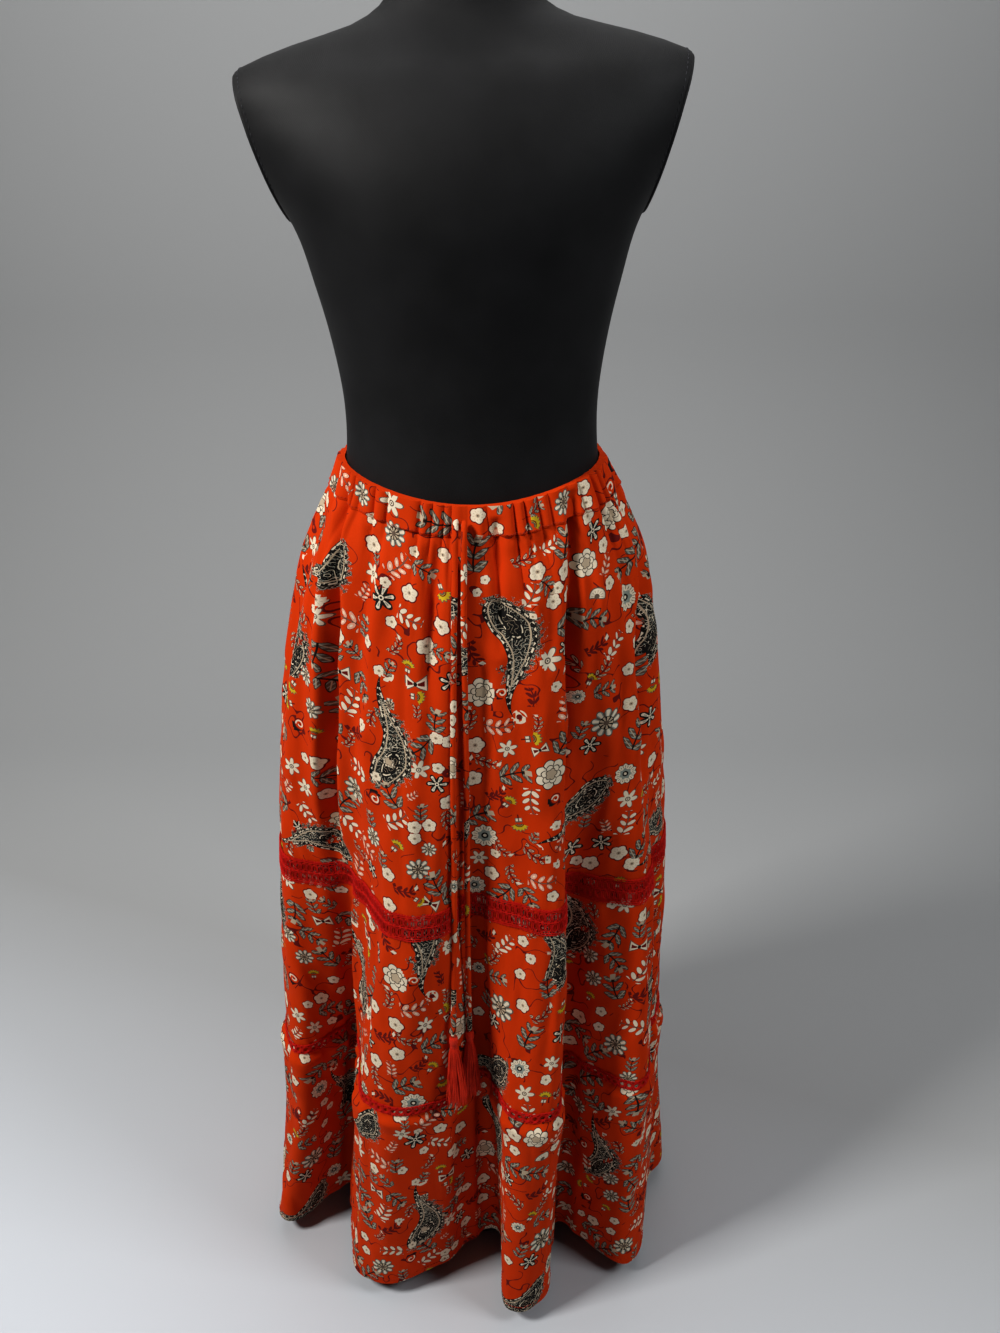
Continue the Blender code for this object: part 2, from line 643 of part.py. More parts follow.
def build_tassel(name, top, lean, collection):
    """A bound head whose foot is split into triangles, each drawn out into a strand."""
    bm = bmesh.new()
    top = Vector(top) - Vector((0, 0, TASSEL_GAP))
    rings = []
    for radius, depth in TASSEL_HEAD:
        turn = [2 * math.pi * k / TASSEL_SIDES for k in range(TASSEL_SIDES)]
        places = [Vector((radius * math.cos(a), radius * math.sin(a), -depth)) for a in turn]
        rings.append([bm.verts.new(top + place) for place in places])
    for above, below in zip(rings, rings[1:]):
        for k in range(TASSEL_SIDES):
            after = (k + 1) % TASSEL_SIDES
            bm.faces.new((above[k], above[after], below[after], below[k]))
    bm.faces.new(rings[0])
    radius, depth = TASSEL_HEAD[-1]
    foot = top - Vector((0, 0, depth))
    middle = bm.verts.new(foot)
    turn = [4 * math.pi * (k + 0.25) / TASSEL_SIDES for k in range(TASSEL_SIDES // 2)]
    inner = [bm.verts.new(foot + Vector((math.cos(a), math.sin(a), 0)) * radius / 2) for a in turn]
    roots = []
    for k, vert in enumerate(inner):
        after = inner[(k + 1) % len(inner)]
        outer = [rings[-1][(2 * k + step) % TASSEL_SIDES] for step in range(3)]
        roots.append(bm.faces.new((middle, vert, after)))
        roots.append(bm.faces.new((vert, outer[0], outer[1])))
        roots.append(bm.faces.new((vert, outer[1], after)))
        roots.append(bm.faces.new((after, outer[1], outer[2])))
    strands = bmesh.ops.extrude_discrete_faces(bm, faces=roots)["faces"]
    for index, face in enumerate(strands):
        centre = face.calc_center_median()
        length = TASSEL_LENGTH - depth - STRAND_UNEVENNESS * (1 + math.sin(2.4 * index)) / 2
        spread = foot + (centre - foot) * TASSEL_SPREAD + Vector((*lean, -length))
        for vert in face.verts:
            vert.co = spread + (vert.co - centre) * STRAND_SLIMNESS
    add_object(name, mesh_of(bm, name), collection, TASSEL_RED)


def build_ties(collection):
    ties = (
        ("left", LEFT_TIE_ROUTE, LEFT_TASSEL_LEAN),
        ("right", RIGHT_TIE_ROUTE, RIGHT_TASSEL_LEAN),
    )
    for side, route, lean in ties:
        build_tie("tie_" + side, route, collection)
        build_tassel("tassel_" + side, route[-1], lean, collection)


def build_stand(collection):
    form_foot = WAIST_HEIGHT + FORM_SECTIONS[0].height
    top = form_foot - SEAM_GAP
    bottom = BASE_HEIGHT + SEAM_GAP
    pole = (
        (0.0, top),
        (FLANGE_RADIUS, top),
        (FLANGE_RADIUS, top - FLANGE_HEIGHT),
        (POLE_RADIUS, top - 2 * FLANGE_HEIGHT),
        (POLE_RADIUS, bottom + COLLAR_HEIGHT),
        (COLLAR_RADIUS - BASE_EDGE, bottom + COLLAR_HEIGHT),
        (COLLAR_RADIUS, bottom + COLLAR_HEIGHT - BASE_EDGE),
        (COLLAR_RADIUS, bottom),
        (0.0, bottom),
    )
    base = (
        (0.0, BASE_HEIGHT),
        (BASE_RADIUS - BASE_EDGE, BASE_HEIGHT),
        (BASE_RADIUS, BASE_HEIGHT - BASE_EDGE),
        (BASE_RADIUS, 0.0),
        (0.0, 0.0),
    )
    turned("stand_pole", pole, collection, STAND_BLACK)
    turned("stand_base", base, collection, STAND_BLACK)


def main():
    clear_scene()
    collection = bpy.data.collections.new("tiered_midi_skirt_on_dress_form")
    bpy.context.scene.collection.children.link(collection)
    build_form(collection)
    build_stand(collection)
    build_waistband(collection)
    build_tiers(collection)
    build_ties(collection)


main()
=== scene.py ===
"""Looks of the tiered midi skirt on its limbless dress form.

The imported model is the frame. Metres, +Z up, the front faces -Y, and the origin is on the floor at the
centre of the stand's base. A turn runs from 0 at the left seam over the front to 0.5 at the right seam
and on round the back to 1. A drop is measured down the cloth from the side of the waist.
"""

from __future__ import annotations

import logging
import math
from dataclasses import dataclass, field
from enum import IntEnum
from typing import NamedTuple, Sequence

import bmesh
import bpy
import numpy as np
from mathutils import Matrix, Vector

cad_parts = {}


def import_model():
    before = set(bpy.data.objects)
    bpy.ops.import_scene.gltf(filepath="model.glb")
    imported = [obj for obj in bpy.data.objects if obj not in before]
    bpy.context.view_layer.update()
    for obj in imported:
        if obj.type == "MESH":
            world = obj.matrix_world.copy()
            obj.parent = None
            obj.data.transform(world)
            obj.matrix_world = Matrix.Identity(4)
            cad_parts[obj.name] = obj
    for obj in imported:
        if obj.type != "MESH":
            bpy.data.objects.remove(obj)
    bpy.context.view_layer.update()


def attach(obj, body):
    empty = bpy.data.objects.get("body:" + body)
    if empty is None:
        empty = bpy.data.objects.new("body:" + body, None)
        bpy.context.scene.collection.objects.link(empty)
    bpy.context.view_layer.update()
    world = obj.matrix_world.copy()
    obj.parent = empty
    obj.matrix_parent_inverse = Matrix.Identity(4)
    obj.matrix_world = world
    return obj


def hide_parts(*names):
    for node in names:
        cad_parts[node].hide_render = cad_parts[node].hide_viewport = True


log = logging.getLogger("tiered_skirt")

Colour = tuple[float, float, float]
BODY = "root"
MM = 0.001


class Fold(NamedTuple):
    """A ridge or valley: plan angle in degrees and radius at the upper seam, the lower seam and the hem."""

    upper_angle: float
    upper_radius: float
    lower_angle: float
    lower_radius: float
    hem_angle: float
    hem_radius: float


class SkirtSection(NamedTuple):
    """The cloth's oval at a drop before it folds."""

    drop: float
    half_width: float
    front: float
    back: float
    right_fullness: float


class FormSection(NamedTuple):
    """A level section of the dress form: height over the waist, half width and depths."""

    height: float
    half_width: float
    front: float
    back: float


WAIST_HEIGHT = 0.968
CASING_DROP = 0.029
UPPER_SEAM_DROP = 0.425
LOWER_SEAM_DROP = 0.658
HEM_DROP = 0.943
FORM_SECTIONS = (
    FormSection(-0.270, 0.120, 0.072, 0.085),
    FormSection(-0.262, 0.145, 0.090, 0.104),
    FormSection(-0.235, 0.162, 0.102, 0.119),
    FormSection(-0.185, 0.168, 0.106, 0.125),
    FormSection(-0.130, 0.161, 0.104, 0.120),
    FormSection(-0.080, 0.144, 0.099, 0.110),
    FormSection(-0.035, 0.125, 0.094, 0.099),
    FormSection(0.000, 0.1185, 0.092, 0.095),
    FormSection(0.045, 0.1165, 0.094, 0.093),
    FormSection(0.100, 0.1230, 0.101, 0.094),
    FormSection(0.150, 0.1340, 0.112, 0.098),
    FormSection(0.200, 0.1490, 0.120, 0.101),
    FormSection(0.240, 0.1740, 0.116, 0.102),
    FormSection(0.275, 0.1940, 0.103, 0.099),
    FormSection(0.303, 0.1990, 0.086, 0.092),
    FormSection(0.319, 0.1820, 0.070, 0.083),
    FormSection(0.332, 0.1420, 0.060, 0.075),
    FormSection(0.344, 0.0930, 0.054, 0.066),
    FormSection(0.357, 0.0670, 0.051, 0.059),
    FormSection(0.376, 0.0565, 0.049, 0.054),
    FormSection(0.420, 0.0545, 0.050, 0.052),
)
SKIRT_SECTIONS = (
    SkirtSection(0.000, 0.1220, 0.0970, 0.0990, 0.001),
    SkirtSection(CASING_DROP, 0.1345, 0.1060, 0.1090, 0.003),
    SkirtSection(0.080, 0.1610, 0.1260, 0.1310, 0.004),
    SkirtSection(0.150, 0.1800, 0.1390, 0.1470, 0.001),
    SkirtSection(0.260, 0.1980, 0.1530, 0.1620, -0.003),
    SkirtSection(UPPER_SEAM_DROP, 0.2110, 0.1670, 0.1760, -0.003),
)
FRONT_FOLDS = (
    Fold(-92, 0.210, -89, 0.219, -87, 0.238),
    Fold(-70, 0.211, -64, 0.220, -69, 0.262),
    Fold(-56, 0.160, -68, 0.154, -72, 0.175),
    Fold(-43, 0.162, -50, 0.172, -58, 0.188),
    Fold(-24, 0.183, -33, 0.204, -36, 0.218),
    Fold(-13, 0.174, -12, 0.176, -15, 0.154),
    Fold(-2, 0.134, 3, 0.130, 8, 0.110),
    Fold(16, 0.158, 12, 0.189, 11, 0.212),
    Fold(26, 0.181, 22, 0.204, 20, 0.213),
    Fold(42, 0.142, 41, 0.152, 43, 0.147),
    Fold(57, 0.203, 51, 0.230, 50, 0.239),
    Fold(72, 0.199, 71, 0.204, 75, 0.210),
    Fold(91, 0.209, 90, 0.218, 93, 0.247),
)
BACK_FOLDS = (
    Fold(109, 0.181, 110, 0.172, 111, 0.170),
    Fold(126, 0.204, 127, 0.219, 125, 0.243),
    Fold(143, 0.165, 142, 0.158, 143, 0.150),
    Fold(160, 0.193, 159, 0.208, 161, 0.226),
    Fold(177, 0.152, 175, 0.146, 176, 0.134),
    Fold(190, 0.190, 192, 0.211, 191, 0.232),
    Fold(206, 0.160, 205, 0.150, 207, 0.153),
    Fold(222, 0.203, 221, 0.219, 223, 0.240),
    Fold(239, 0.173, 238, 0.164, 240, 0.162),
    Fold(252, 0.211, 251, 0.226, 252, 0.251),
    Fold(261, 0.205, 260, 0.206, 262, 0.205),
)
LEFT_TIE_ROUTE = (
    (-0.0125, -0.1027, 0.9300),
    (-0.0126, -0.1089, 0.9286),
    (-0.0127, -0.1135, 0.9240),
    (-0.0128, -0.1168, 0.9165),
    (-0.0130, -0.1188, 0.9060),
    (-0.0133, -0.1225, 0.8890),
    (-0.0138, -0.1290, 0.8670),
    (-0.0144, -0.1338, 0.8440),
    (-0.0150, -0.1384, 0.8150),
    (-0.0158, -0.1428, 0.7800),
    (-0.0166, -0.1466, 0.7400),
    (-0.0174, -0.1494, 0.7000),
    (-0.0180, -0.1513, 0.6550),
    (-0.0181, -0.1535, 0.6100),
    (-0.0184, -0.1560, 0.5650),
    (-0.0192, -0.1580, 0.5200),
    (-0.0204, -0.1604, 0.4750),
    (-0.0214, -0.1642, 0.4350),
    (-0.0220, -0.1690, 0.4020),
)
RIGHT_TIE_ROUTE = (
    (-0.0050, -0.1050, 0.9290),
    (-0.0050, -0.1102, 0.9277),
    (-0.0050, -0.1142, 0.9232),
    (-0.0051, -0.1174, 0.9160),
    (-0.0052, -0.1194, 0.9050),
    (-0.0054, -0.1236, 0.8870),
    (-0.0056, -0.1294, 0.8660),
    (-0.0057, -0.1336, 0.8430),
    (-0.0056, -0.1374, 0.8140),
    (-0.0054, -0.1406, 0.7780),
    (-0.0053, -0.1428, 0.7380),
    (-0.0054, -0.1439, 0.6950),
    (-0.0056, -0.1443, 0.6500),
    (-0.0059, -0.1444, 0.6050),
    (-0.0062, -0.1445, 0.5600),
    (-0.0064, -0.1447, 0.5150),
    (-0.0064, -0.1451, 0.4700),
    (-0.0062, -0.1458, 0.4250),
    (-0.0060, -0.1466, 0.3880),
)


def smooth_through(x: float, knots: np.ndarray, values: np.ndarray) -> np.ndarray:
    """Reads a smooth curve.

    Args:
        x: Where to read it.
        knots: Rising places of its points.
        values: One row for each knot.

    Returns:
        The row at x.
    """
    knots = np.asarray(knots, float)
    values = np.asarray(values, float)
    slopes = np.gradient(values, knots, axis=0)
    i = int(np.clip(np.searchsorted(knots, x) - 1, 0, len(knots) - 2))
    width = knots[i + 1] - knots[i]
    u = min(max((x - knots[i]) / width, 0.0), 1.0)
    rise = u * u * (3 - 2 * u)
    leave = u * (1 - u) ** 2 * width
    arrive = u * u * (u - 1) * width
    return values[i] * (1 - rise) + values[i + 1] * rise + slopes[i] * leave + slopes[i + 1] * arrive


def oval_radius(
    angle: np.ndarray, half_width: float, front: float, back: float, squareness: float = 2.0
) -> np.ndarray:
    """Radius of an oval at plan angles in radians.

    Args:
        angle: Plan angles from the front.
        half_width: Half width of the oval.
        front: Its depth to the front.
        back: Its depth to the back.
        squareness: 2 for an ellipse, more for a squarer one.

    Returns:
        The radii.
    """
    depth = np.where(np.cos(angle) > 0, front, back)
    across = np.abs(np.sin(angle) / half_width) ** squareness
    along = np.abs(np.cos(angle) / depth) ** squareness
    return (across + along) ** (-1 / squareness)


def resampled(route: np.ndarray, step: float) -> np.ndarray:
    """Points at even steps along a smooth curve through a route."""
    route = np.asarray(route, float)
    along = np.concatenate(([0.0], np.linalg.norm(np.diff(route, axis=0), axis=1).cumsum()))
    count = max(int(round(along[-1] / step)), 2)
    return np.array([smooth_through(s, along, route) for s in np.linspace(0, along[-1], count + 1)])


@dataclass(frozen=True)
class HangingCloth:
    """The surface that the cloth hangs in, the same one as the solids have, with finer relief on it."""

    front_dip: float = 0.026
    back_rise: float = 0.008
    dip_power: float = 1.5
    casing: float = 0.0028
    form_clearance: float = 0.0008
    form_squareness: float = 2.15
    hold: float = 0.34
    fold_fade: float = 1.7
    spacing_drops: tuple[float, ...] = (0.150, UPPER_SEAM_DROP, LOWER_SEAM_DROP, HEM_DROP)
    segment_samples: int = 16
    gathers_round: int = 48
    waist_gather: float = 0.0074
    edge_gather: float = 0.0056
    tier_gather: float = 0.0052
    puff: float = 0.0022
    valley_depth: float = 0.0095
    valley_lip: float = 0.0045
    valley_width: float = 0.0125
    drape_height: float = 0.0026
    cache: dict = field(default_factory=dict, compare=False)

    def folds(self) -> tuple[np.ndarray, np.ndarray]:
        """Angles in radians and radii of all ridges and valleys, a row for each."""
        table = np.array([*FRONT_FOLDS, *BACK_FOLDS])
        return np.radians(table[:, 0::2]), table[:, 1::2]

    def waist_offset(self, angle: np.ndarray) -> np.ndarray:
        """How far the waist lies above its side at plan angles."""
        toward_front = np.cos(angle)
        dip = self.front_dip * np.abs(toward_front) ** self.dip_power
        return np.where(toward_front > 0, -dip, -self.back_rise * toward_front)

    def plain_radius(self, angle: np.ndarray, drop: float) -> np.ndarray:
        """Radius of the cloth without its folds."""
        sizes = np.array(SKIRT_SECTIONS)
        half_width, front, back, fullness = smooth_through(drop, sizes[:, 0], sizes[:, 1:])
        hanging = oval_radius(angle, half_width, front, back) + fullness * np.sin(angle)
        if drop >= CASING_DROP:
            return hanging
        form = np.array(FORM_SECTIONS)
        heights = self.waist_offset(angle) - drop
        rows = [np.interp(heights, form[:, 0], form[:, k]) for k in (1, 2, 3)]
        held = oval_radius(angle, *rows, self.form_squareness) + self.form_clearance + self.casing
        return held + (hanging - held) * drop / CASING_DROP

    def levels(self) -> tuple[tuple[float, ...], list[np.ndarray]]:
        """Drops of the levels that shape the folds, and the knots' radii at each."""
        if "levels" not in self.cache:
            angles, radii = self.folds()
            stations = (*(section.drop for section in SKIRT_SECTIONS), LOWER_SEAM_DROP, HEM_DROP)
            upper = angles[:, 0]
            fold = radii[:, 0] - self.plain_radius(upper, UPPER_SEAM_DROP)
            rows = []
            for drop in stations[:-2]:
                share = (drop / UPPER_SEAM_DROP) ** self.fold_fade
                rows.append(self.plain_radius(upper, drop) + fold * share)
            self.cache["levels"] = (stations, [*rows, radii[:, 1], radii[:, 2]])
        return self.cache["levels"]

    def knots(self, drop: float) -> np.ndarray:
        """Plan points of the ridges and valleys at a drop."""
        stations, levels = self.levels()
        angles, _ = self.folds()
        seams = (UPPER_SEAM_DROP, LOWER_SEAM_DROP, HEM_DROP)
        angle = smooth_through(max(drop, UPPER_SEAM_DROP), seams, angles.T)
        if drop < CASING_DROP:
            share = drop / CASING_DROP
            radius = levels[0] * (1 - share) + levels[1] * share
        else:
            radius = smooth_through(drop, stations[1:], levels[1:])
        return np.column_stack((radius * np.sin(angle), -radius * np.cos(angle)))

    def curve(self, points: np.ndarray, segment: np.ndarray, along: np.ndarray) -> np.ndarray:
        """Points on the closed curve through points.

        Args:
            points: The knots in plan.
            segment: The segment that each wanted point lies in.
            along: Its share along that segment.

        Returns:
            The plan points.
        """
        count = len(points)
        chords = np.roll(points, -1, axis=0) - points
        lengths = np.linalg.norm(chords, axis=1)
        ways = chords / lengths[:, None]
        before = np.roll(lengths, 1)
        tangents = ways * before[:, None] + np.roll(ways, 1, axis=0) * lengths[:, None]
        tangents /= np.linalg.norm(tangents, axis=1)[:, None]
        after = (segment + 1) % count
        handle = (self.hold * lengths[segment])[:, None]
        start, end = points[segment], points[after]
        near = start + tangents[segment] * handle
        far = end - tangents[after] * handle
        u = along[:, None]
        v = 1 - u
        return start * v**3 + near * 3 * v * v * u + far * 3 * v * u * u + end * u**3

    def knot_turns(self) -> np.ndarray:
        """The turn at which each ridge or valley lies, with 1 at the end."""
        if "turns" not in self.cache:
            count = len(FRONT_FOLDS) + len(BACK_FOLDS)
            samples = self.segment_samples
            segment = np.arange(count).repeat(samples)
            along = np.tile(np.arange(samples) / samples, count)
            length = np.zeros(count)
            for drop in self.spacing_drops:
                points = self.curve(self.knots(drop), segment, along)
                steps = np.linalg.norm(np.roll(points, -1, axis=0) - points, axis=1)
                part = steps.reshape(count, samples).sum(axis=1)
                length += part / part.sum()
            seam = len(FRONT_FOLDS) - 1
            front = length[:seam].cumsum() / length[:seam].sum() / 2
            back = length[seam:].cumsum() / length[seam:].sum() / 2 + 0.5
            self.cache["turns"] = np.concatenate(([0.0], front, back))
        return self.cache["turns"]

    def plan(self, drop: float, turns: np.ndarray) -> np.ndarray:
        """Plan points of the cloth's face at a drop."""
        places = self.knot_turns()
        turns = np.asarray(turns, float) % 1.0
        segment = np.clip(np.searchsorted(places, turns, side="right") - 1, 0, len(places) - 2)
        along = (turns - places[segment]) / (places[segment + 1] - places[segment])
        return self.curve(self.knots(drop), segment, along)

    def gathers(self, drop: float, turns: np.ndarray) -> np.ndarray:
        """How far the gathers at the waist and below the lower seam lift the cloth."""
        wander = 0.36 * np.sin(2 * math.pi * 9 * turns + 0.7) + 0.16 * np.sin(2 * math.pi * 23 * turns)
        phase = math.pi * (self.gathers_round * turns + wander)
        wave = np.abs(np.sin(phase)) ** 0.62
        uneven = 0.72 + 0.22 * np.sin(2 * math.pi * 7 * turns + 1.0) + 0.10 * np.sin(2 * math.pi * 17 * turns)
        reach = 0.040 + 0.030 * np.sin(2 * math.pi * 11 * turns + 2.0) * np.sin(2 * math.pi * 3 * turns)
        if drop < CASING_DROP:
            share = drop / CASING_DROP
            lift = self.edge_gather + (self.waist_gather - self.edge_gather) * share
            return wave * uneven * lift
        if drop < UPPER_SEAM_DROP:
            below = drop - CASING_DROP
            pinch = 0.55 + 0.45 * (1 - math.exp(-((below / 0.006) ** 2)))
            return wave * uneven * self.waist_gather * pinch * np.exp(-below / reach)
        below = drop - LOWER_SEAM_DROP - 0.0065
        if below <= 0:
            return np.zeros_like(turns)
        rise = min(below / 0.010, 1.0)
        coarse = wave * uneven * self.tier_gather * math.exp(-below / 0.055)
        fine_phase = 2 * math.pi * (2.35 * self.gathers_round * turns + 1.1 * wander)
        fine = (1 - np.cos(fine_phase)) / 2 * 0.0019 * math.exp(-below / 0.020)
        return (coarse + fine + self.puff * math.exp(-((below - 0.012) / 0.016) ** 2)) * rise

    def creases(self, drop: float, turns: np.ndarray) -> np.ndarray:
        """How far the listed soft troughs and ridges move the cloth."""
        moved = np.zeros_like(turns)
        for crease in CREASES:
            moved += crease.at(drop, turns)
        return moved

    def valleys(self, drop: float, turns: np.ndarray) -> np.ndarray:
        """How far the deep folds of the lower tiers draw in, with their sides standing fuller."""
        share = min(max((drop - 0.36) / 0.12, 0.0), 1.0)
        moved = np.zeros_like(turns)
        if share == 0.0:
            return moved
        places = self.knot_turns()
        _, radii = self.folds()
        girth = float(np.interp(drop, (UPPER_SEAM_DROP, LOWER_SEAM_DROP, HEM_DROP), GIRTHS[2:]))
        for k in range(1, len(radii)):
            low = radii[k, 2] < min(radii[k - 1, 2], radii[(k + 1) % len(radii), 2])
            if not low:
                continue
            away = ((turns - places[k] + 0.5) % 1.0 - 0.5) * girth / self.valley_width
            moved -= self.valley_depth * np.exp(-(away**2))
            moved += self.valley_lip * (np.exp(-((away - 2.0) ** 2)) + np.exp(-((away + 2.0) ** 2)))
        return moved * share * share * (3 - 2 * share)

    def drape(self, drop: float, turns: np.ndarray) -> np.ndarray:
        """Soft uneven folds that fall from each seam."""
        drift = 1.7 * drop
        wave = np.sin(2 * math.pi * 13 * turns + 1.2 * math.sin(9 * drop) + drift)
        wave += 0.8 * np.sin(2 * math.pi * 22 * turns - 2.1 * drift + 1.9)
        wave += 0.6 * np.sin(2 * math.pi * 37 * turns + 1.3 * drift + 0.6 * np.sin(2 * math.pi * 5 * turns))
        spread = (0.02, 0.09, 0.22, UPPER_SEAM_DROP, 0.50, LOWER_SEAM_DROP, 0.70, 0.85, HEM_DROP)
        heights = (0.0, 1.0, 0.8, 0.25, 0.7, 0.35, 1.0, 0.8, 0.6)
        return wave * self.drape_height * float(np.interp(drop, spread, heights))

    def beside_ties(self, turns: np.ndarray) -> np.ndarray:
        """Share of the relief that the cloth keeps behind the ties, which hang close to it."""
        return 1 - 0.85 * np.exp(-(((turns - 0.247) / 0.011) ** 4))

    def relief(self, drop: float, turns: np.ndarray) -> np.ndarray:
        """How far all gathers, folds and creases move the cloth."""
        loose = self.creases(drop, turns) + self.valleys(drop, turns) + self.drape(drop, turns)
        kept = self.beside_ties(turns)
        return self.gathers(drop, turns) * (0.45 + 0.55 * kept) + loose * kept

    def row(self, drop: float, turns: np.ndarray, outset: float, relief: float = 1.0) -> np.ndarray:
        """Points of the cloth's face.

        Args:
            drop: Drop of the row.
            turns: Turns of its points.
            outset: How far out of the face they lie.
            relief: Share of the gathers and creases that they follow.

        Returns:
            The points.
        """
        step = 1e-4
        way = self.plan(drop, turns + step) - self.plan(drop, turns - step)
        way /= np.linalg.norm(way, axis=1)[:, None]
        out = outset + relief * self.relief(drop, turns)
        plan = self.plan(drop, turns) + np.column_stack((way[:, 1], -way[:, 0])) * out[:, None]
        angle = np.arctan2(plan[:, 0], -plan[:, 1])
        fade = max(1 - drop / UPPER_SEAM_DROP, 0.0)
        height = WAIST_HEIGHT - drop + self.waist_offset(angle) * fade
        return np.column_stack((plan, height))

    def arcs(self, drop: float, middle: float, turns: np.ndarray) -> np.ndarray:
        """Distance along the plain cloth from the middle turn to each turn, in metres."""
        dense = np.linspace(turns[0], turns[-1], 4 * len(turns))
        points = self.plan(drop, dense)
        along = np.concatenate(([0.0], np.linalg.norm(np.diff(points, axis=0), axis=1).cumsum()))
        return np.interp(turns, dense, along) - np.interp(middle, dense, along)


@dataclass(frozen=True)
class Crease:
    """A soft trough or ridge down the cloth: its path of drops and turns, depth, half width and skew."""

    name: str
    path: tuple[tuple[float, float], ...]
    depth: float
    width: float
    skew: float = 0.0

    def at(self, drop: float, turns: np.ndarray) -> np.ndarray:
        """How far it moves the cloth at a drop, out for a ridge."""
        drops, centres = zip(*self.path)
        along = (drop - drops[0]) / (drops[-1] - drops[0])
        if not 0 < along < 1:
            return np.zeros_like(turns)
        fade = math.sin(math.pi * min(along * 4.0, 0.5)) * math.sin(math.pi * min((1 - along) * 1.4, 0.5))
        girth = float(np.interp(drop, (0.0, 0.15, UPPER_SEAM_DROP, LOWER_SEAM_DROP, HEM_DROP), GIRTHS))
        away = ((turns - np.interp(drop, drops, centres) + 0.5) % 1.0 - 0.5) * girth
        scaled = away / self.width * (1 + self.skew * np.tanh(away / self.width))
        return self.depth * fade * np.exp(-(scaled**2))


GIRTHS = (0.70, 1.02, 1.39, 1.79, 2.22)
CREASES = (
    Crease(
        "left_waist_fold",
        (
            (0.014, 0.070), (0.027, 0.0727), (0.077, 0.0925), (0.132, 0.1013),
            (0.212, 0.1050), (0.280, 0.1023), (0.43, 0.093),
        ),
        -0.0150, 0.0072, 0.25,
    ),
    Crease(
        "left_waist_lip",
        ((0.014, 0.056), (0.077, 0.0800), (0.132, 0.0890), (0.212, 0.0925), (0.280, 0.0905), (0.41, 0.084)),
        0.0065, 0.0085,
    ),
    Crease(
        "left_waist_far_lip",
        ((0.014, 0.087), (0.077, 0.1060), (0.132, 0.1140), (0.212, 0.1170), (0.280, 0.1140), (0.41, 0.106)),
        0.0050, 0.0090,
    ),
    Crease(
        "right_fold",
        ((0.004, 0.388), (0.014, 0.3845), (0.062, 0.3598), (0.135, 0.3488), (0.195, 0.3440), (0.32, 0.341)),
        -0.0150, 0.0066, 0.3,
    ),
    Crease(
        "right_lip",
        ((0.010, 0.372), (0.062, 0.3475), (0.135, 0.3370), (0.195, 0.3325), (0.29, 0.330)),
        0.0065, 0.0085,
    ),
    Crease("left_flank_fold", ((0.030, 0.030), (0.300, 0.026)), -0.0060, 0.0100),
    Crease("left_front_fold", ((0.030, 0.128), (0.230, 0.136)), -0.0050, 0.0080, -0.3),
    Crease("left_middle_fold", ((0.030, 0.168), (0.330, 0.176)), -0.0045, 0.0090, 0.3),
    Crease("tie_left_fold", ((0.030, 0.205), (0.190, 0.200)), -0.0040, 0.0070),
    Crease("middle_fold", ((0.010, 0.2800), (0.140, 0.2760)), -0.0085, 0.0050, 0.3),
    Crease("middle_right_fold", ((0.030, 0.303), (0.180, 0.300)), -0.0050, 0.0065),
    Crease("right_front_fold", ((0.030, 0.326), (0.160, 0.318)), -0.0040, 0.0070),
    Crease(
        "right_flank_fold",
        ((0.020, 0.468), (0.092, 0.4597), (0.163, 0.4390), (0.340, 0.430)),
        -0.0110, 0.0085, 0.3,
    ),
    Crease(
        "right_flank_lip",
        ((0.020, 0.452), (0.092, 0.4430), (0.163, 0.4230), (0.300, 0.414)),
        0.0050, 0.0090,
    ),
    Crease("right_side_fold", ((0.030, 0.412), (0.300, 0.398)), -0.0045, 0.0090),
    Crease("right_seam_fold", ((0.030, 0.492), (0.260, 0.480)), -0.0040, 0.0100),
    Crease("left_tier_glint", ((0.430, 0.112), (0.660, 0.118)), 0.0040, 0.0050, 0.5),
    Crease("left_tier_trough", ((0.440, 0.150), (0.640, 0.160)), -0.0040, 0.0090),
    Crease("middle_tier_trough", ((0.450, 0.312), (0.640, 0.306)), -0.0035, 0.0080),
    Crease("right_tier_trough", ((0.440, 0.420), (0.640, 0.426)), -0.0040, 0.0090),
    Crease("hem_left_dent", ((0.720, 0.052), (0.930, 0.050)), -0.0050, 0.0130),
    Crease("hem_left_front_dent", ((0.700, 0.160), (0.920, 0.156)), -0.0045, 0.0120),
    Crease("hem_panel_rise", ((0.690, 0.186), (0.940, 0.182)), 0.0040, 0.0120),
    Crease("hem_middle_dent", ((0.700, 0.322), (0.940, 0.320)), -0.0030, 0.0080),
    Crease("hem_right_flank_rise", ((0.720, 0.430), (0.940, 0.434)), 0.0040, 0.0120),
    Crease("back_left_fold", ((0.020, 0.900), (0.260, 0.880)), -0.0100, 0.0080, 0.3),
    Crease("back_left_middle_fold", ((0.020, 0.830), (0.240, 0.824)), -0.0070, 0.0080),
    Crease("back_middle_fold", ((0.020, 0.752), (0.330, 0.748)), -0.0085, 0.0085, 0.2),
    Crease("back_right_middle_fold", ((0.020, 0.668), (0.250, 0.676)), -0.0065, 0.0080),
    Crease("back_right_fold", ((0.020, 0.590), (0.300, 0.612)), -0.0100, 0.0080, -0.3),
    Crease("back_tier_trough", ((0.440, 0.700), (0.640, 0.704)), -0.0040, 0.0090),
    Crease("back_hem_dent", ((0.700, 0.640), (0.930, 0.636)), -0.0040, 0.0120),
    Crease("back_hem_left_dent", ((0.700, 0.860), (0.930, 0.864)), -0.0040, 0.0120),
)
CLOTH = HangingCloth()


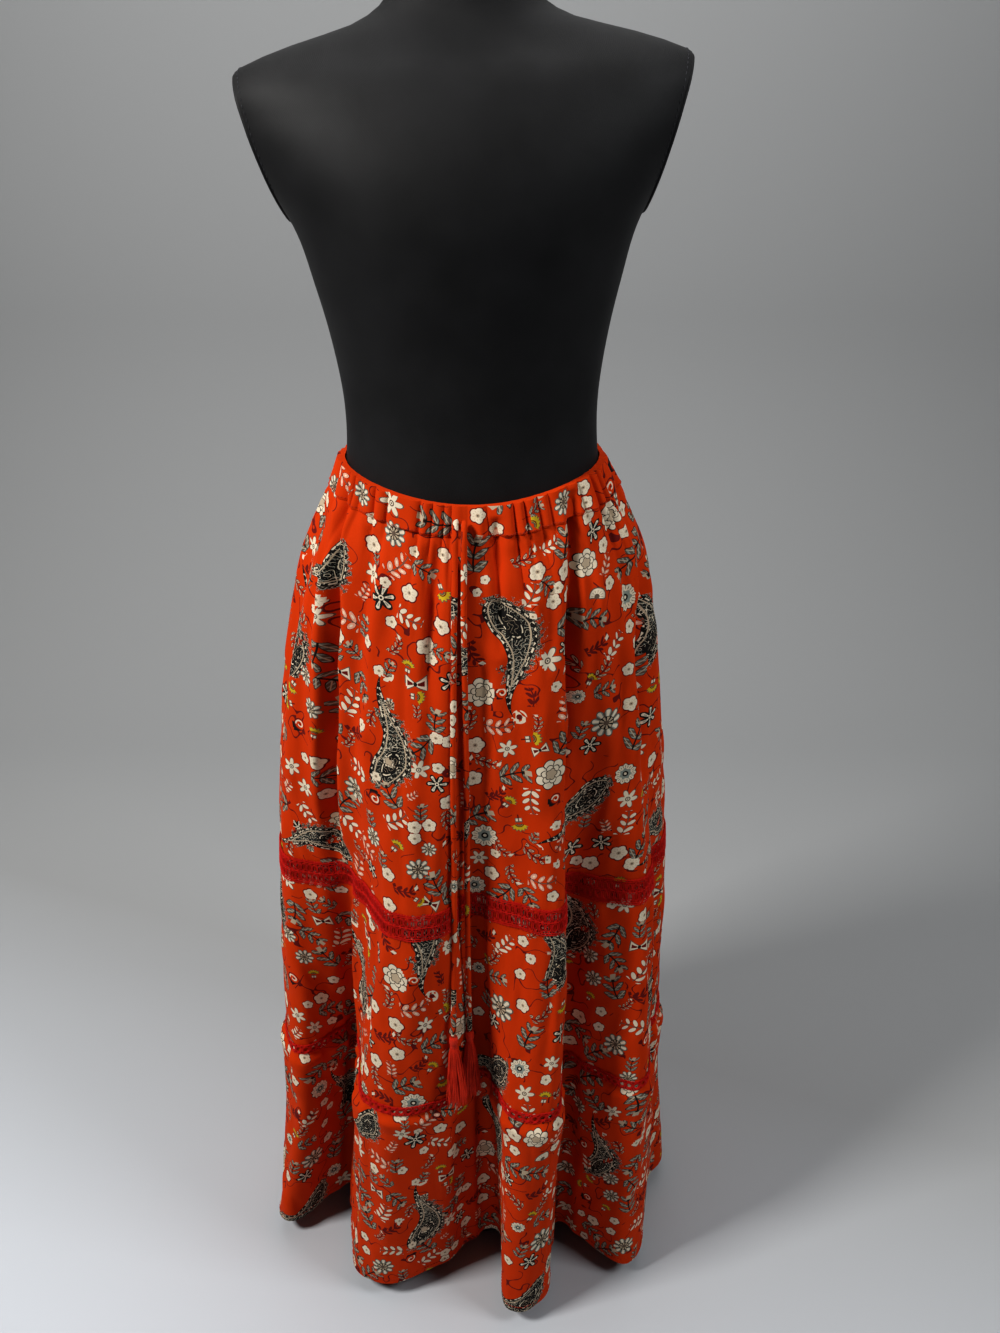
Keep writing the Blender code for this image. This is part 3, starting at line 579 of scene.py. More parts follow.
class Motif(IntEnum):
    """The kinds of flower, leaf and paisley in the print."""

    BLOSSOM = 0
    STAR = 1
    DARK_STAR = 2
    ROUND = 3
    PEONY = 4
    ROSETTE = 5
    BUDS = 6
    LEAVES = 7
    CARNATION = 8
    SCROLL = 9
    TWIG = 10
    FAN = 11
    BOW = 12
    PAISLEY = 13


class Placed(NamedTuple):
    """A motif in the repeat: millimetres across and down, its size in millimetres, its turn in degrees."""

    kind: Motif
    across: float
    down: float
    size: float
    turn: float


@dataclass(frozen=True)
class PrintRepeat:
    """The repeat of the print, laid on flat cloth."""

    width: float = 480 * MM
    height: float = 412 * MM
    reach: float = 1.18
    swell: float = 1.28
    paisley_box: tuple[float, float, float, float] = (-0.34, 1.06, -0.30, 0.40)

    def placed(self) -> list[Placed]:
        """The motifs of one repeat."""
        return [Placed(kind, *numbers) for kind, rows in MOTIFS.items() for numbers in rows]

    def local(self, away: np.ndarray, motif: Placed) -> np.ndarray:
        """Flat cloth places in a motif's own frame, where its edge lies about 1 from its middle.

        Args:
            away: Places in metres, across and down from the motif's middle.
            motif: The motif.

        Returns:
            Places across and up in the motif's frame.
        """
        unit = abs(motif.size) * MM * (1.0 if motif.kind is Motif.PAISLEY else 0.5 * self.swell)
        right, up = away[..., 0], -away[..., 1]
        turn = math.radians(motif.turn)
        x = (right * math.cos(turn) + up * math.sin(turn)) / unit
        y = (-right * math.sin(turn) + up * math.cos(turn)) / unit
        return np.stack((x, y if motif.size > 0 else -y), axis=-1)

    def nearness(self, place: np.ndarray, kind: Motif) -> np.ndarray:
        """How far places lie from a motif, as a share of its reach."""
        if kind is Motif.PAISLEY:
            x0, x1, y0, y1 = self.paisley_box
            middle = np.array(((x0 + x1) / 2, (y0 + y1) / 2))
            half = np.array(((x1 - x0) / 2, (y1 - y0) / 2))
            return np.abs((place - middle) / half).max(axis=-1) * 0.9
        if kind in (Motif.BUDS, Motif.LEAVES, Motif.TWIG):
            return np.hypot(place[..., 0] / 1.2, place[..., 1] / 0.85)
        return np.hypot(place[..., 0], place[..., 1]) / self.reach

    def on_corners(self, middles: np.ndarray, corners: np.ndarray) -> np.ndarray:
        """Finds each face's motif and the places of its corners in it.

        Args:
            middles: Flat places of the faces' middles, n by 2.
            corners: Flat places of their corners, n by 4 by 2.

        Returns:
            n by 4 by 3: place in the motif's frame, and its kind with the motif's tone as the fraction.
        """
        size = np.array((self.width, self.height))
        best = np.full(len(middles), 1.0)
        found = np.full((len(middles), 4, 3), -3.0)
        found[..., :2] = 9.0
        for index, motif in enumerate(self.placed()):
            tone = 0.15 + 0.7 * ((index * 0.618) % 1.0)
            centre = np.array((motif.across, motif.down)) * MM
            copy = centre + np.round((middles - centre) / size) * size
            near = self.nearness(self.local(middles - copy, motif), motif.kind)
            closer = near < best
            if closer.any():
                best[closer] = near[closer]
                found[closer, :, :2] = self.local(corners[closer] - copy[closer][:, None], motif)
                found[closer, :, 2] = motif.kind + tone
        return found


MOTIFS = {
    Motif.BLOSSOM: (
        (6, 8, 11, 0), (22, 22, 10, 30), (106, 7, 10, 0), (109, 20, 9, 40), (111, 32, 10, 10),
        (130, 60, 10, 0), (156, 56, 9, 25), (-79, 77, 8, 0), (-55, 81, 12, 15), (-75, 112, 9, 0),
        (-27, 107, 12, 50), (-101, 136, 10, 0), (-42, 129, 13, 0), (58, 62, 12, 0), (86, 68, 13, 20),
        (89, 90, 10, 0), (73, 91, 11, 60), (134, 92, 10, 0), (2, 230, 14, 0), (-24, 220, 11, 0),
        (-35, 217, 10, 30), (165, 215, 12, 0), (-156, 113, 12, 0), (-184, 284, 13, 0), (0, 267, 13, 30),
        (-62, 310, 11, 0), (-48, 310, 11, 20), (-63, 322, 10, 40), (189, 379, 14, 0), (206, 391, 13, 0),
        (17, 381, 13, 0), (-97, 369, 12, 0), (165, 396, 14, 0), (-100, 404, 13, 0), (-95, 52, 13, 0),
        (-94, 30, 9, 0), (-50, 45, 8, 0), (-135, 142, 11, 0), (-37, 141, 10, 0), (-88, 160, 9, 0),
        (54, 101, 7, 0), (12, 65, 7, 0), (5, 76, 7, 0), (77, 80, 9, 0), (162, 141, 10, 0),
        (171, 158, 10, 0), (75, 171, 9, 0), (-171, 130, 9, 0), (-208, 128, 8, 0), (-161, 263, 10, 0),
        (-111, 219, 9, 0), (-201, 286, 9, 0), (-28, 286, 13, 0), (-35, 248, 9, 0), (229, 299, 12, 0),
        (151, 395, 10, 0), (73, 352, 9, 0), (84, 359, 9, 0), (81, 395, 10, 0), (21, 355, 9, 0),
        (-187, 324, 10, 0), (192, 24, 10, 160), (-100, 268, 10, -140), (-176, 20, 10, -150),
        (180, 48, 10, 15), (160, 180, 10, -50), (104, 256, 10, -65), (80, 316, 10, -105),
        (-160, 284, 10, 175), (-176, 40, 10, -140), (-24, 44, 10, -75), (200, 300, 10, 135),
    ),
    Motif.STAR: (
        (-70, 8, 17, 0), (-96, 76, 14, 10), (68, 145, 19, 0), (-158, 129, 15, 0), (-53, 250, 16, 10),
        (179, 316, 16, 0), (113, 341, 13, 0), (-208, 88, 14, 140), (204, 280, 14, -95),
        (-220, 300, 14, 20), (-208, 320, 14, 35), (4, 364, 14, 0), (32, 232, 14, 75),
    ),
    Motif.DARK_STAR: (
        (118, 45, 15, 0), (-83, 91, 20, 10), (86, 136, 14, 20), (-37, 265, 16, 0), (140, 377, 19, 0),
        (-233, 372, 17, 0), (212, 248, 17, -150), (-128, 380, 17, -145), (-20, 160, 17, -140),
        (128, 404, 17, 0), (168, 368, 17, -10), (128, 252, 17, 70),
    ),
    Motif.ROUND: (
        (160, 114, 20, 0), (108, 196, 12, 0), (170, 288, 18, 0), (10, 336, 22, 0), (-1, 400, 19, 0),
    ),
    Motif.PEONY: (
        (8, 174, 24, 0), (73, 259, 24, 0), (-200, 48, 19, -125), (-84, 248, 19, -65),
        (-184, 360, 19, -130), (108, 68, 19, 35), (140, 40, 19, 135),
    ),
    Motif.ROSETTE: (
        (-69, 34, 19, 20), (140, 228, 26, 10), (-138, 300, 23, 0), (-51, 336, 13, 0), (-64, 357, 20, 0),
        (-115, 338, 17, 10), (232, 108, 17, -120), (-76, 220, 17, 90), (-236, 228, 17, -40),
        (-176, 224, 17, -60), (-80, 192, 17, 135), (84, 12, 17, 155), (-184, 196, 17, 145),
        (-156, 24, 17, 135), (164, 36, 17, -145), (-104, 12, 17, -45), (-224, 392, 17, -130),
    ),
    Motif.BUDS: (
        (-66, 60, 23, 40), (-56, 104, 21, -20), (52, 83, 21, 70), (131, 75, 16, 60), (142, 151, 21, 50),
        (84, 195, 21, 90), (-9, 288, 16, 90), (-80, 306, 24, 30), (69, 378, 25, 0), (185, 343, 23, 90),
        (-214, 351, 21, -60), (-108, 95, 14, 60), (71, 43, 15, 30), (-61, 277, 11, 30),
        (165, 346, 14, 120), (-232, 324, 16, 40), (-164, 396, 24, 70), (-156, 348, 24, -45),
        (-132, 8, 24, -40), (24, 208, 24, 5), (-124, 272, 24, 170), (192, 148, 24, 115),
        (-216, 188, 24, 105), (56, 288, 24, -85), (88, 336, 24, -125), (-128, 204, 24, 65),
        (-128, 356, 24, -25), (-128, 124, 24, 170),
    ),
    Motif.LEAVES: (
        (57, 10, 12, 20), (-42, 60, 19, -30), (-106, 127, 18, 80), (-29, 133, 15, -10),
        (-120, 152, 16, 130), (68, 78, 18, -50), (117, 120, 22, -10), (-110, 184, 24, -60),
        (-34, 199, 20, 80), (135, 194, 19, 10), (-156, 199, 23, -50), (-181, 305, 24, -20),
        (-54, 295, 15, 80), (5, 311, 26, 20), (60, 328, 12, 60), (56, 402, 22, -60),
        (-102, 355, 16, 80), (-91, 60, 11, 90), (-137, 156, 16, 90), (-78, 156, 14, 60),
        (4, 41, 28, 80), (85, 44, 23, 85), (117, 233, 17, 70), (28, 149, 15, 20), (145, 344, 14, 90),
        (-115, 318, 15, 90), (236, 56, 26, 25), (-216, 8, 26, -135), (192, 80, 26, -145),
        (192, 188, 26, 95), (-32, 16, 26, 170), (-236, 268, 26, -145), (176, 248, 26, 70),
        (224, 348, 26, 175), (-184, 104, 26, 165), (-164, 168, 26, -115), (88, 228, 26, 55),
        (160, 84, 26, -145), (204, 48, 26, 90), (40, 260, 26, 10), (-28, 396, 26, 10),
        (-232, 84, 26, 135), (28, 404, 26, -135), (-188, 72, 26, -75), (208, 104, 26, -155),
        (-156, 320, 26, 40), (-152, 228, 26, 110), (-188, 4, 26, 120), (-48, 376, 26, 105),
        (-84, 280, 26, 115), (-52, 228, 26, -145), (92, 116, 26, 0), (212, 372, 26, 70),
        (104, 360, 26, 105),
    ),
    Motif.CARNATION: (
        (52, 22, 15, 30), (-26, 75, 15, -60), (-59, 151, 13, 80), (-52, 177, 14, 0), (54, 221, 16, 10),
        (119, 181, 13, 60), (-177, 250, 12, 70), (201, 322, 14, 80), (33, 292, 14, 50),
        (44, 315, 16, -80), (-68, 393, 12, -40), (-204, 212, 14, -125), (212, 216, 14, -90),
        (-84, 336, 14, 50), (200, 4, 14, 85), (-212, 232, 14, -170),
    ),
    Motif.SCROLL: (
        (27, 173, 14, 0), (-201, 251, 14, 0), (78, 286, 12, 0), (191, 124, 11, 0), (148, 20, 15, 85),
        (-228, 164, 15, -105), (172, 8, 15, -25), (-104, 292, 15, -135), (216, 172, 15, 45),
    ),
    Motif.TWIG: (
        (-71, 132, 18, 60), (47, 48, 20, 30), (3, 135, 23, -60), (58, 204, 16, 90), (129, 170, 21, 60),
        (-122, 230, 24, 30), (14, 248, 21, -10), (29, 348, 19, -40), (63, 348, 25, -20),
        (40, 378, 20, -60), (-79, 381, 22, 10), (-53, 191, 15, 90), (174, 127, 16, 60),
        (122, 146, 21, 30), (-136, 245, 16, 60), (22, 282, 19, 40), (236, 192, 22, -85),
        (-196, 168, 22, 50), (224, 148, 22, -160), (-24, 364, 22, -30), (224, 16, 22, -105),
        (-200, 384, 22, -155), (108, 384, 22, 85), (-24, 332, 22, 175), (232, 396, 22, -120),
        (96, 160, 22, 160), (52, 176, 22, 110), (-232, 132, 22, -25), (188, 220, 22, 35),
        (-4, 200, 22, 85), (-192, 140, 22, 130), (-12, 248, 22, 20), (-224, 36, 22, -140),
        (224, 320, 22, 15), (-216, 108, 22, 40), (-96, 208, 22, -110), (220, 80, 22, -100),
        (-28, 308, 22, -75), (-148, 372, 22, -5),
    ),
    Motif.FAN: (
        (119, 99, 14, -10),
    ),
    Motif.BOW: (
        (-52, 165, 18, 0), (62, 232, 13, 20), (-135, 176, 16, 0), (-57, 398, 16, -30),
    ),
    Motif.PAISLEY: (
        (-134, 73, 72, 215), (29, 104, 96, -80), (200, 176, -84, 100), (-205, 186, -84, 100), (-88, 256, -94, 84),
        (140, 308, 84, 205), (-195, 388, -78, 178),
    ),
}
REPEAT = PrintRepeat()


class Ink:
    """A value in a material's node tree, with the arithmetic of the Math node."""

    def __init__(self, tree: bpy.types.NodeTree, socket: bpy.types.NodeSocket) -> None:
        """Holds a socket of the tree."""
        self.tree = tree
        self.socket = socket

    def maths(self, operation: str, *others: Ink | float) -> Ink:
        """Adds a Math node on this value and the others."""
        node = self.tree.nodes.new("ShaderNodeMath")
        node.operation = operation
        for slot, value in enumerate((self, *others)):
            if isinstance(value, Ink):
                self.tree.links.new(value.socket, node.inputs[slot])
            else:
                node.inputs[slot].default_value = value
        return Ink(self.tree, node.outputs[0])

    def __add__(self, other: Ink | float) -> Ink:
        """Adds."""
        return self.maths("ADD", other)

    def __sub__(self, other: Ink | float) -> Ink:
        """Takes away."""
        return self.maths("SUBTRACT", other)

    def __mul__(self, other: Ink | float) -> Ink:
        """Multiplies; of two masks it keeps where both hold."""
        return self.maths("MULTIPLY", other)

    def __truediv__(self, other: Ink | float) -> Ink:
        """Divides."""
        return self.maths("DIVIDE", other)

    def __lt__(self, other: Ink | float) -> Ink:
        """A mask, 1 where this is less."""
        return self.maths("LESS_THAN", other)

    def __gt__(self, other: Ink | float) -> Ink:
        """A mask, 1 where this is more."""
        return self.maths("GREATER_THAN", other)

    def __abs__(self) -> Ink:
        """The value without its sign."""
        return self.maths("ABSOLUTE")

    def scaled(self, by: float, plus: float = 0.0) -> Ink:
        """This value times by, plus a number."""
        return self.maths("MULTIPLY_ADD", by, plus)

    def power(self, exponent: float) -> Ink:
        """This value raised to an exponent."""
        return self.maths("POWER", exponent)

    def cos(self) -> Ink:
        """Its cosine."""
        return self.maths("COSINE")

    def sin(self) -> Ink:
        """Its sine."""
        return self.maths("SINE")

    def over(self, least: float) -> Ink:
        """This value, or least where it is below it."""
        return self.maths("MAXIMUM", least)

    def under(self, most: float) -> Ink:
        """This value, or most where it is above it."""
        return self.maths("MINIMUM", most)

    def band(self, middle: float | Ink, half: float) -> Ink:
        """A mask, 1 within half of middle."""
        return abs(self - middle) < half


class Shader:
    """A material with one Principled node, and helpers to write its tree."""

    def __init__(
        self, name: str, roughness: float, metallic: float = 0.0, sheen: float = 0.0, gloss: float = 0.25
    ) -> None:
        """Makes the material and sets the shader's plain values."""
        self.material = bpy.data.materials.new(name)
        self.material.use_nodes = True
        self.tree = self.material.node_tree
        self.principled = self.tree.nodes["Principled BSDF"]
        self.principled.inputs["Roughness"].default_value = roughness
        self.principled.inputs["Metallic"].default_value = metallic
        self.principled.inputs["Sheen Weight"].default_value = sheen
        self.principled.inputs["Sheen Roughness"].default_value = 0.45
        self.principled.inputs["Specular IOR Level"].default_value = gloss

    def node(self, kind: str, **values: object) -> bpy.types.Node:
        """Adds a node and sets its properties."""
        made = self.tree.nodes.new("ShaderNode" + kind)
        for name, value in values.items():
            setattr(made, name, value)
        return made

    def link(self, source: bpy.types.NodeSocket, target: bpy.types.NodeSocket) -> None:
        """Links two sockets."""
        self.tree.links.new(source, target)

    def attribute(self, name: str) -> tuple[Ink, Ink, Ink]:
        """The three numbers of a mesh attribute."""
        read = self.node("Attribute", attribute_name=name)
        apart = self.node("SeparateXYZ")
        self.link(read.outputs["Vector"], apart.inputs[0])
        return tuple(Ink(self.tree, socket) for socket in apart.outputs)

    def place(self, uv: bool = False, scale: tuple[float, float, float] = (1, 1, 1)) -> bpy.types.NodeSocket:
        """Object coordinates, or the piece's own flat map, scaled."""
        if uv:
            source = self.node("UVMap", uv_map="cloth").outputs["UV"]
        else:
            source = self.node("TexCoord").outputs["Object"]
        mapping = self.node("Mapping")
        mapping.inputs["Scale"].default_value = scale
        self.link(source, mapping.inputs["Vector"])
        return mapping.outputs["Vector"]

    def noise(self, vector: bpy.types.NodeSocket, scale: float, detail: float = 2.0) -> Ink:
        """A noise between 0 and 1."""
        made = self.node("TexNoise")
        made.inputs["Scale"].default_value = scale
        made.inputs["Detail"].default_value = detail
        self.link(vector, made.inputs["Vector"])
        return Ink(self.tree, made.outputs["Fac"])

    def mixed(
        self, mask: Ink, under: bpy.types.NodeSocket | Colour, over: bpy.types.NodeSocket | Colour
    ) -> bpy.types.NodeSocket:
        """Lays one colour over another by a mask.

        Args:
            mask: 0 for the colour under, 1 for the one over.
            under: A colour or a socket.
            over: A colour or a socket.

        Returns:
            The mixed colour's socket.
        """
        mix = self.node("Mix", data_type="RGBA")
        self.link(mask.socket, mix.inputs["Factor"])
        for name, value in (("A", under), ("B", over)):
            socket = next(s for s in mix.inputs if s.name == name and s.type == "RGBA")
            if isinstance(value, bpy.types.NodeSocket):
                self.link(value, socket)
            else:
                socket.default_value = (*value, 1.0)
        return next(s for s in mix.outputs if s.type == "RGBA")

    def colour(self, socket: bpy.types.NodeSocket) -> None:
        """Sets the shader's colour."""
        self.link(socket, self.principled.inputs["Base Color"])

    def bump(self, height: Ink, distance: float, strength: float = 1.0) -> None:
        """Adds a bump from a height between 0 and 1."""
        bump = self.node("Bump")
        bump.inputs["Strength"].default_value = strength
        bump.inputs["Distance"].default_value = distance
        self.link(height.socket, bump.inputs["Height"])
        self.link(bump.outputs["Normal"], self.principled.inputs["Normal"])


@dataclass(frozen=True)
class Palette:
    """The print's inks."""

    ground: Colour = (0.560, 0.042, 0.003)
    ivory: Colour = (0.700, 0.600, 0.450)
    beige: Colour = (0.460, 0.360, 0.250)
    grey_green: Colour = (0.250, 0.275, 0.235)
    grey_brown: Colour = (0.120, 0.085, 0.062)
    black: Colour = (0.014, 0.013, 0.012)
    maroon: Colour = (0.130, 0.012, 0.010)
    yellow: Colour = (0.520, 0.370, 0.020)
    pink: Colour = (0.680, 0.330, 0.230)


@dataclass(frozen=True)
class PrintedCloth:
    """Light crinkled cloth with the flower and paisley print. The motifs' places come with the mesh."""

    name: str
    fade: float = 0.0
    roughness: float = 0.82
    sheen: float = 0.006
    inks: Palette = Palette()

    def motif_inks(
        self, kind: Motif, x: Ink, y: Ink, r: Ink, a: Ink, tone: Ink, grain: Ink, curls: Ink
    ) -> list[tuple[Ink, Colour]]:
        """The inks of one motif, from the lowest to the topmost.

        Args:
            kind: The motif.
            x: Place across in its frame.
            y: Place up.
            r: Distance from its middle.
            a: Angle round its middle.
            tone: Its own number from 0 to 1.
            grain: A fine noise.
            curls: A noise as coarse as the scrolls in a paisley.

        Returns:
            Pairs of mask and colour.
        """
        ink = self.inks
        if kind is Motif.BLOSSOM:
            edge = abs(a.scaled(2.5).cos()).scaled(0.20, 0.78)
            return [
                (r < edge + 0.16, ink.maroon),
                (r < edge, ink.ivory),
                ((r.band(0.52, 0.13)) * (abs(a.scaled(5.0, 0.4).cos()) < 0.22), ink.beige),
                (r < 0.26, ink.beige),
                (r < 0.12, ink.grey_brown),
            ]
        if kind is Motif.STAR:
            edge = abs(a.scaled(3.0).cos()).power(1.5).scaled(0.62, 0.38)
            return [
                (r < edge + 0.12, ink.grey_brown),
                (r < edge, ink.ivory),
                (r < 0.25, ink.grey_brown),
                (r < 0.15, ink.ivory),
                (r < 0.07, ink.black),
            ]
        if kind is Motif.DARK_STAR:
            lobe = abs(a.scaled(3.0).cos())
            edge = lobe.power(1.2).scaled(0.50, 0.52)
            return [
                (r < edge, ink.black),
                ((r < edge.scaled(0.84)) * (r > 0.24) * (lobe > 0.86), ink.ivory),
                ((r < edge.scaled(0.66)) * (r > 0.40) * (lobe > 0.97), ink.grey_green),
                (r.band(0.14, 0.05), ink.ivory),
            ]
        if kind is Motif.ROUND:
            rays = a.scaled(22.0).cos()
            return [
                (r < a.scaled(11.0).cos().scaled(0.06, 0.93), ink.black),
                (r < a.scaled(11.0).cos().scaled(0.07, 0.86), ink.ivory),
                ((r > 0.56) * (r < 0.76) * (rays > 0.72), ink.grey_brown),
                (r < a.scaled(7.0).cos().scaled(0.06, 0.48), ink.grey_green),
                (r < 0.25, ink.black),
                (r < 0.12, ink.ivory),
            ]
        if kind is Motif.PEONY:
            outer = abs(a.scaled(3.5).cos()).scaled(0.20, 0.76)
            middle = abs(a.scaled(3.0, 0.8).cos()).scaled(0.16, 0.50)
            inner = abs(a.scaled(2.5).cos()).scaled(0.10, 0.26)
            return [
                (r < outer + 0.06, ink.black),
                (r < outer, ink.ivory),
                ((r < outer) * (abs(a.scaled(3.5).cos()) < 0.16), ink.black),
                (r < middle, ink.black),
                (r < middle - 0.06, ink.ivory),
                ((r < middle) * (abs(a.scaled(3.0, 0.8).cos()) < 0.20), ink.grey_brown),
                (r < inner + 0.05, ink.black),
                (r < inner, ink.beige),
            ]
        if kind is Motif.ROSETTE:
            lobe = abs(a.scaled(4.5).cos())
            edge = lobe.scaled(0.26, 0.70)
            return [
                (r < edge, ink.grey_brown),
                ((r < edge - 0.08) * (lobe > 0.45), ink.grey_green),
                ((r < edge - 0.10) * (lobe > 0.80), ink.ivory),
                (r < 0.44, ink.black),
                ((r < 0.40) * (abs(a.scaled(4.5, 0.7).cos()) > 0.62), ink.beige),
                (r < 0.16, ink.grey_brown),
            ]
        if kind in (Motif.BUDS, Motif.LEAVES, Motif.TWIG):
            return self.sprig_inks(kind, x, y, tone)
        if kind is Motif.CARNATION:
            fan = abs(a) < 1.15
            edge = a.scaled(16.0).cos().scaled(0.09, 0.82)
            return [
                (fan * (r < edge + 0.10) * (r > 0.20), ink.grey_brown),
                (fan * (r < edge) * (r > 0.34), ink.yellow),
                (fan * (r.band(0.42, 0.05)), ink.maroon),
                ((x + 0.32).band(0.0, 0.26) * (abs(y) < 0.34), ink.grey_brown),
                ((x + 0.36).band(0.0, 0.16) * (abs(y).band(0.17, 0.11)), ink.ivory),
                ((x < -0.55) * (abs(y) < 0.07) * (x > -0.95), ink.maroon),
            ]
        if kind is Motif.SCROLL:
            spiral = r - a.scaled(0.055, 0.34)
            return [
                ((abs(y + 0.45) < x.scaled(-0.42, 0.30)) * (x > -1.0), ink.black),
                ((abs(x - 0.55) < y.scaled(-0.38, -0.05)) * (y > -1.0), ink.maroon),
                (r < 0.72, ink.maroon),
                (r < 0.58, ink.ground),
                ((abs(spiral) < 0.085) * (r < 0.58), ink.ivory),
                (r < 0.13, ink.maroon),
            ]
        if kind is Motif.FAN:
            rays = a.scaled(12.0).cos()
            return [
                ((y > -0.25) * (r < 0.92), ink.grey_brown),
                ((y > -0.16) * (r < 0.80), ink.ivory),
                ((y > -0.16) * (r > 0.30) * (r < 0.62) * (rays > 0.6), ink.beige),
                (r < 0.26, ink.grey_brown),
            ]
        if kind is Motif.BOW:
            wing = abs(x).scaled(0.60, 0.08)
            return [
                ((abs(y) < wing + 0.09) * (abs(x) < 0.96), ink.grey_brown),
                ((abs(y) < wing) * (abs(x) < 0.86), ink.ivory),
                ((abs(y) < wing.scaled(0.45)) * (abs(x) < 0.72) * (abs(x) > 0.2), ink.maroon),
                (r < 0.17, ink.black),
            ]
        return self.paisley_inks(x, y, grain, curls)

    def sprig_inks(self, kind: Motif, x: Ink, y: Ink, tone: Ink) -> list:
        """The inks of a stem with pairs of buds or leaves."""
        ink = self.inks
        pitch = {Motif.BUDS: 0.52, Motif.LEAVES: 0.62, Motif.TWIG: 0.44}[kind]
        bend = {Motif.BUDS: 0.20, Motif.LEAVES: -0.16, Motif.TWIG: 0.42}[kind]
        middle = y - x.power(2.0).scaled(bend, -0.5 * bend)
        cell = x.scaled(1 / pitch, 20.5).maths("FRACT").scaled(pitch, -0.5 * pitch)
        side = abs(middle)
        inside = abs(x) < 0.92
        taper = x.scaled(-0.22, 1.0)
        if kind is Motif.BUDS:
            lean = (cell - side.scaled(0.55, -0.16)) / 0.150
            reach = (side - 0.29) / 0.23
            bud = (lean * lean + reach * reach).maths("SQRT") / taper
            stem = (abs(middle) < 0.035) * inside
            twiglet = (abs(cell - side.scaled(0.55, -0.16)) < 0.03) * (side < 0.2) * inside
            return [
                (stem, ink.grey_brown),
                (twiglet, ink.grey_brown),
                ((bud < 1.15) * inside, ink.maroon),
                ((bud < 1.0) * inside, ink.ivory),
                ((bud < 0.95) * inside * (tone > 0.5), ink.pink),
                ((bud < 0.4) * inside * (tone > 0.5), ink.ivory),
            ]
        if kind is Motif.LEAVES:
            lean = (cell - side.scaled(0.75, -0.24)) / 0.21
            reach = (side - 0.35) / 0.32
            leaf = (lean * lean + abs(reach).power(1.5)).maths("SQRT") / taper
            vein = abs(cell - side.scaled(0.75, -0.24)) < 0.030
            return [
                ((leaf < 1.12) * inside, ink.black),
                ((leaf < 0.98) * inside, ink.grey_brown),
                ((leaf < 0.90) * inside * (cell.scaled(30.0).cos() > 0.55), ink.grey_green),
                ((leaf < 0.85) * inside * vein, ink.beige),
                ((abs(middle) < 0.045) * inside, ink.black),
                ((x.band(0.72, 0.20)) * (abs(middle) < 0.17), ink.beige),
            ]
        lean = (cell - side.scaled(0.9, -0.18)) / 0.13
        reach = (side - 0.22) / 0.17
        leaf = (lean * lean + reach * reach).maths("SQRT") / taper
        return [
            ((abs(middle) < 0.05) * inside, ink.maroon),
            ((leaf < 1.2) * inside, ink.maroon),
            ((leaf < 0.80) * inside * (tone > 0.35), ink.beige),
            ((leaf < 0.35) * inside, ink.maroon),
            ((x.band(0.78, 0.14)) * (abs(middle) < 0.14), ink.ivory),
        ]

    def paisley_inks(self, x: Ink, y: Ink, grain: Ink, curls: Ink) -> list:
        """The inks of a paisley: head near the middle, slim tail along x in an S."""
        ink = self.inks
        bow = x.scaled(5.0, 0.3).sin().scaled(0.105)
        across = y - bow
        head = (x.under(0.08) - 0.08) / 0.31
        rounded = (head * head).scaled(-1.0, 1.0).over(0.0).maths("SQRT")
        tail = ((x.over(0.08) - 0.08) / 0.94).scaled(-1.0, 1.0).over(0.0).power(1.35)
        width = rounded * tail * 0.205
        edge = width - abs(across)
        inside = (edge > 0.0) * (x > -0.23) * (x < 1.0)
        dots = (x.scaled(90.0).cos() + y.scaled(90.0).cos()) > 0.0
        hair = grain.scaled(0.20, -0.100) + curls.scaled(0.22, -0.11)
        fringe = (edge + hair > -0.050) * (across > -0.12) * (x > -0.27) * (x < 0.62)
        drop = ((x - 0.06) / 0.13) * ((x - 0.06) / 0.13) + (across / 0.075) * (across / 0.075)
        vein = abs(curls - 0.5) < x.over(0.0).scaled(0.030, 0.015)
        speck = grain > x.scaled(-0.08, 0.655)
        tip = ((x - 1.0).power(2.0) + (y + 0.03).power(2.0)).maths("SQRT")
        return [
            (fringe, ink.grey_brown),
            (fringe * (grain < 0.50), ink.black),
            (fringe * (grain > 0.57), ink.grey_green),
            (fringe * (grain > 0.64), ink.beige),
            (inside, ink.black),
            (inside * vein * (edge > 0.030), ink.ivory),
            (inside * speck * (edge > 0.030), ink.grey_green),
            (inside * (edge > 0.008) * (edge < 0.026) * dots, ink.ivory),
            (inside * (edge > 0.048) * (edge < 0.062), ink.beige),
            ((drop < 1.5) * inside, ink.black),
            (drop.band(1.05, 0.13) * inside * (curls > 0.48), ink.ivory),
            ((drop < 0.60) * inside * vein, ink.beige),
            ((tip < 0.075) * (curls > 0.42), ink.ivory),
            ((tip < 0.030), ink.maroon),
        ]

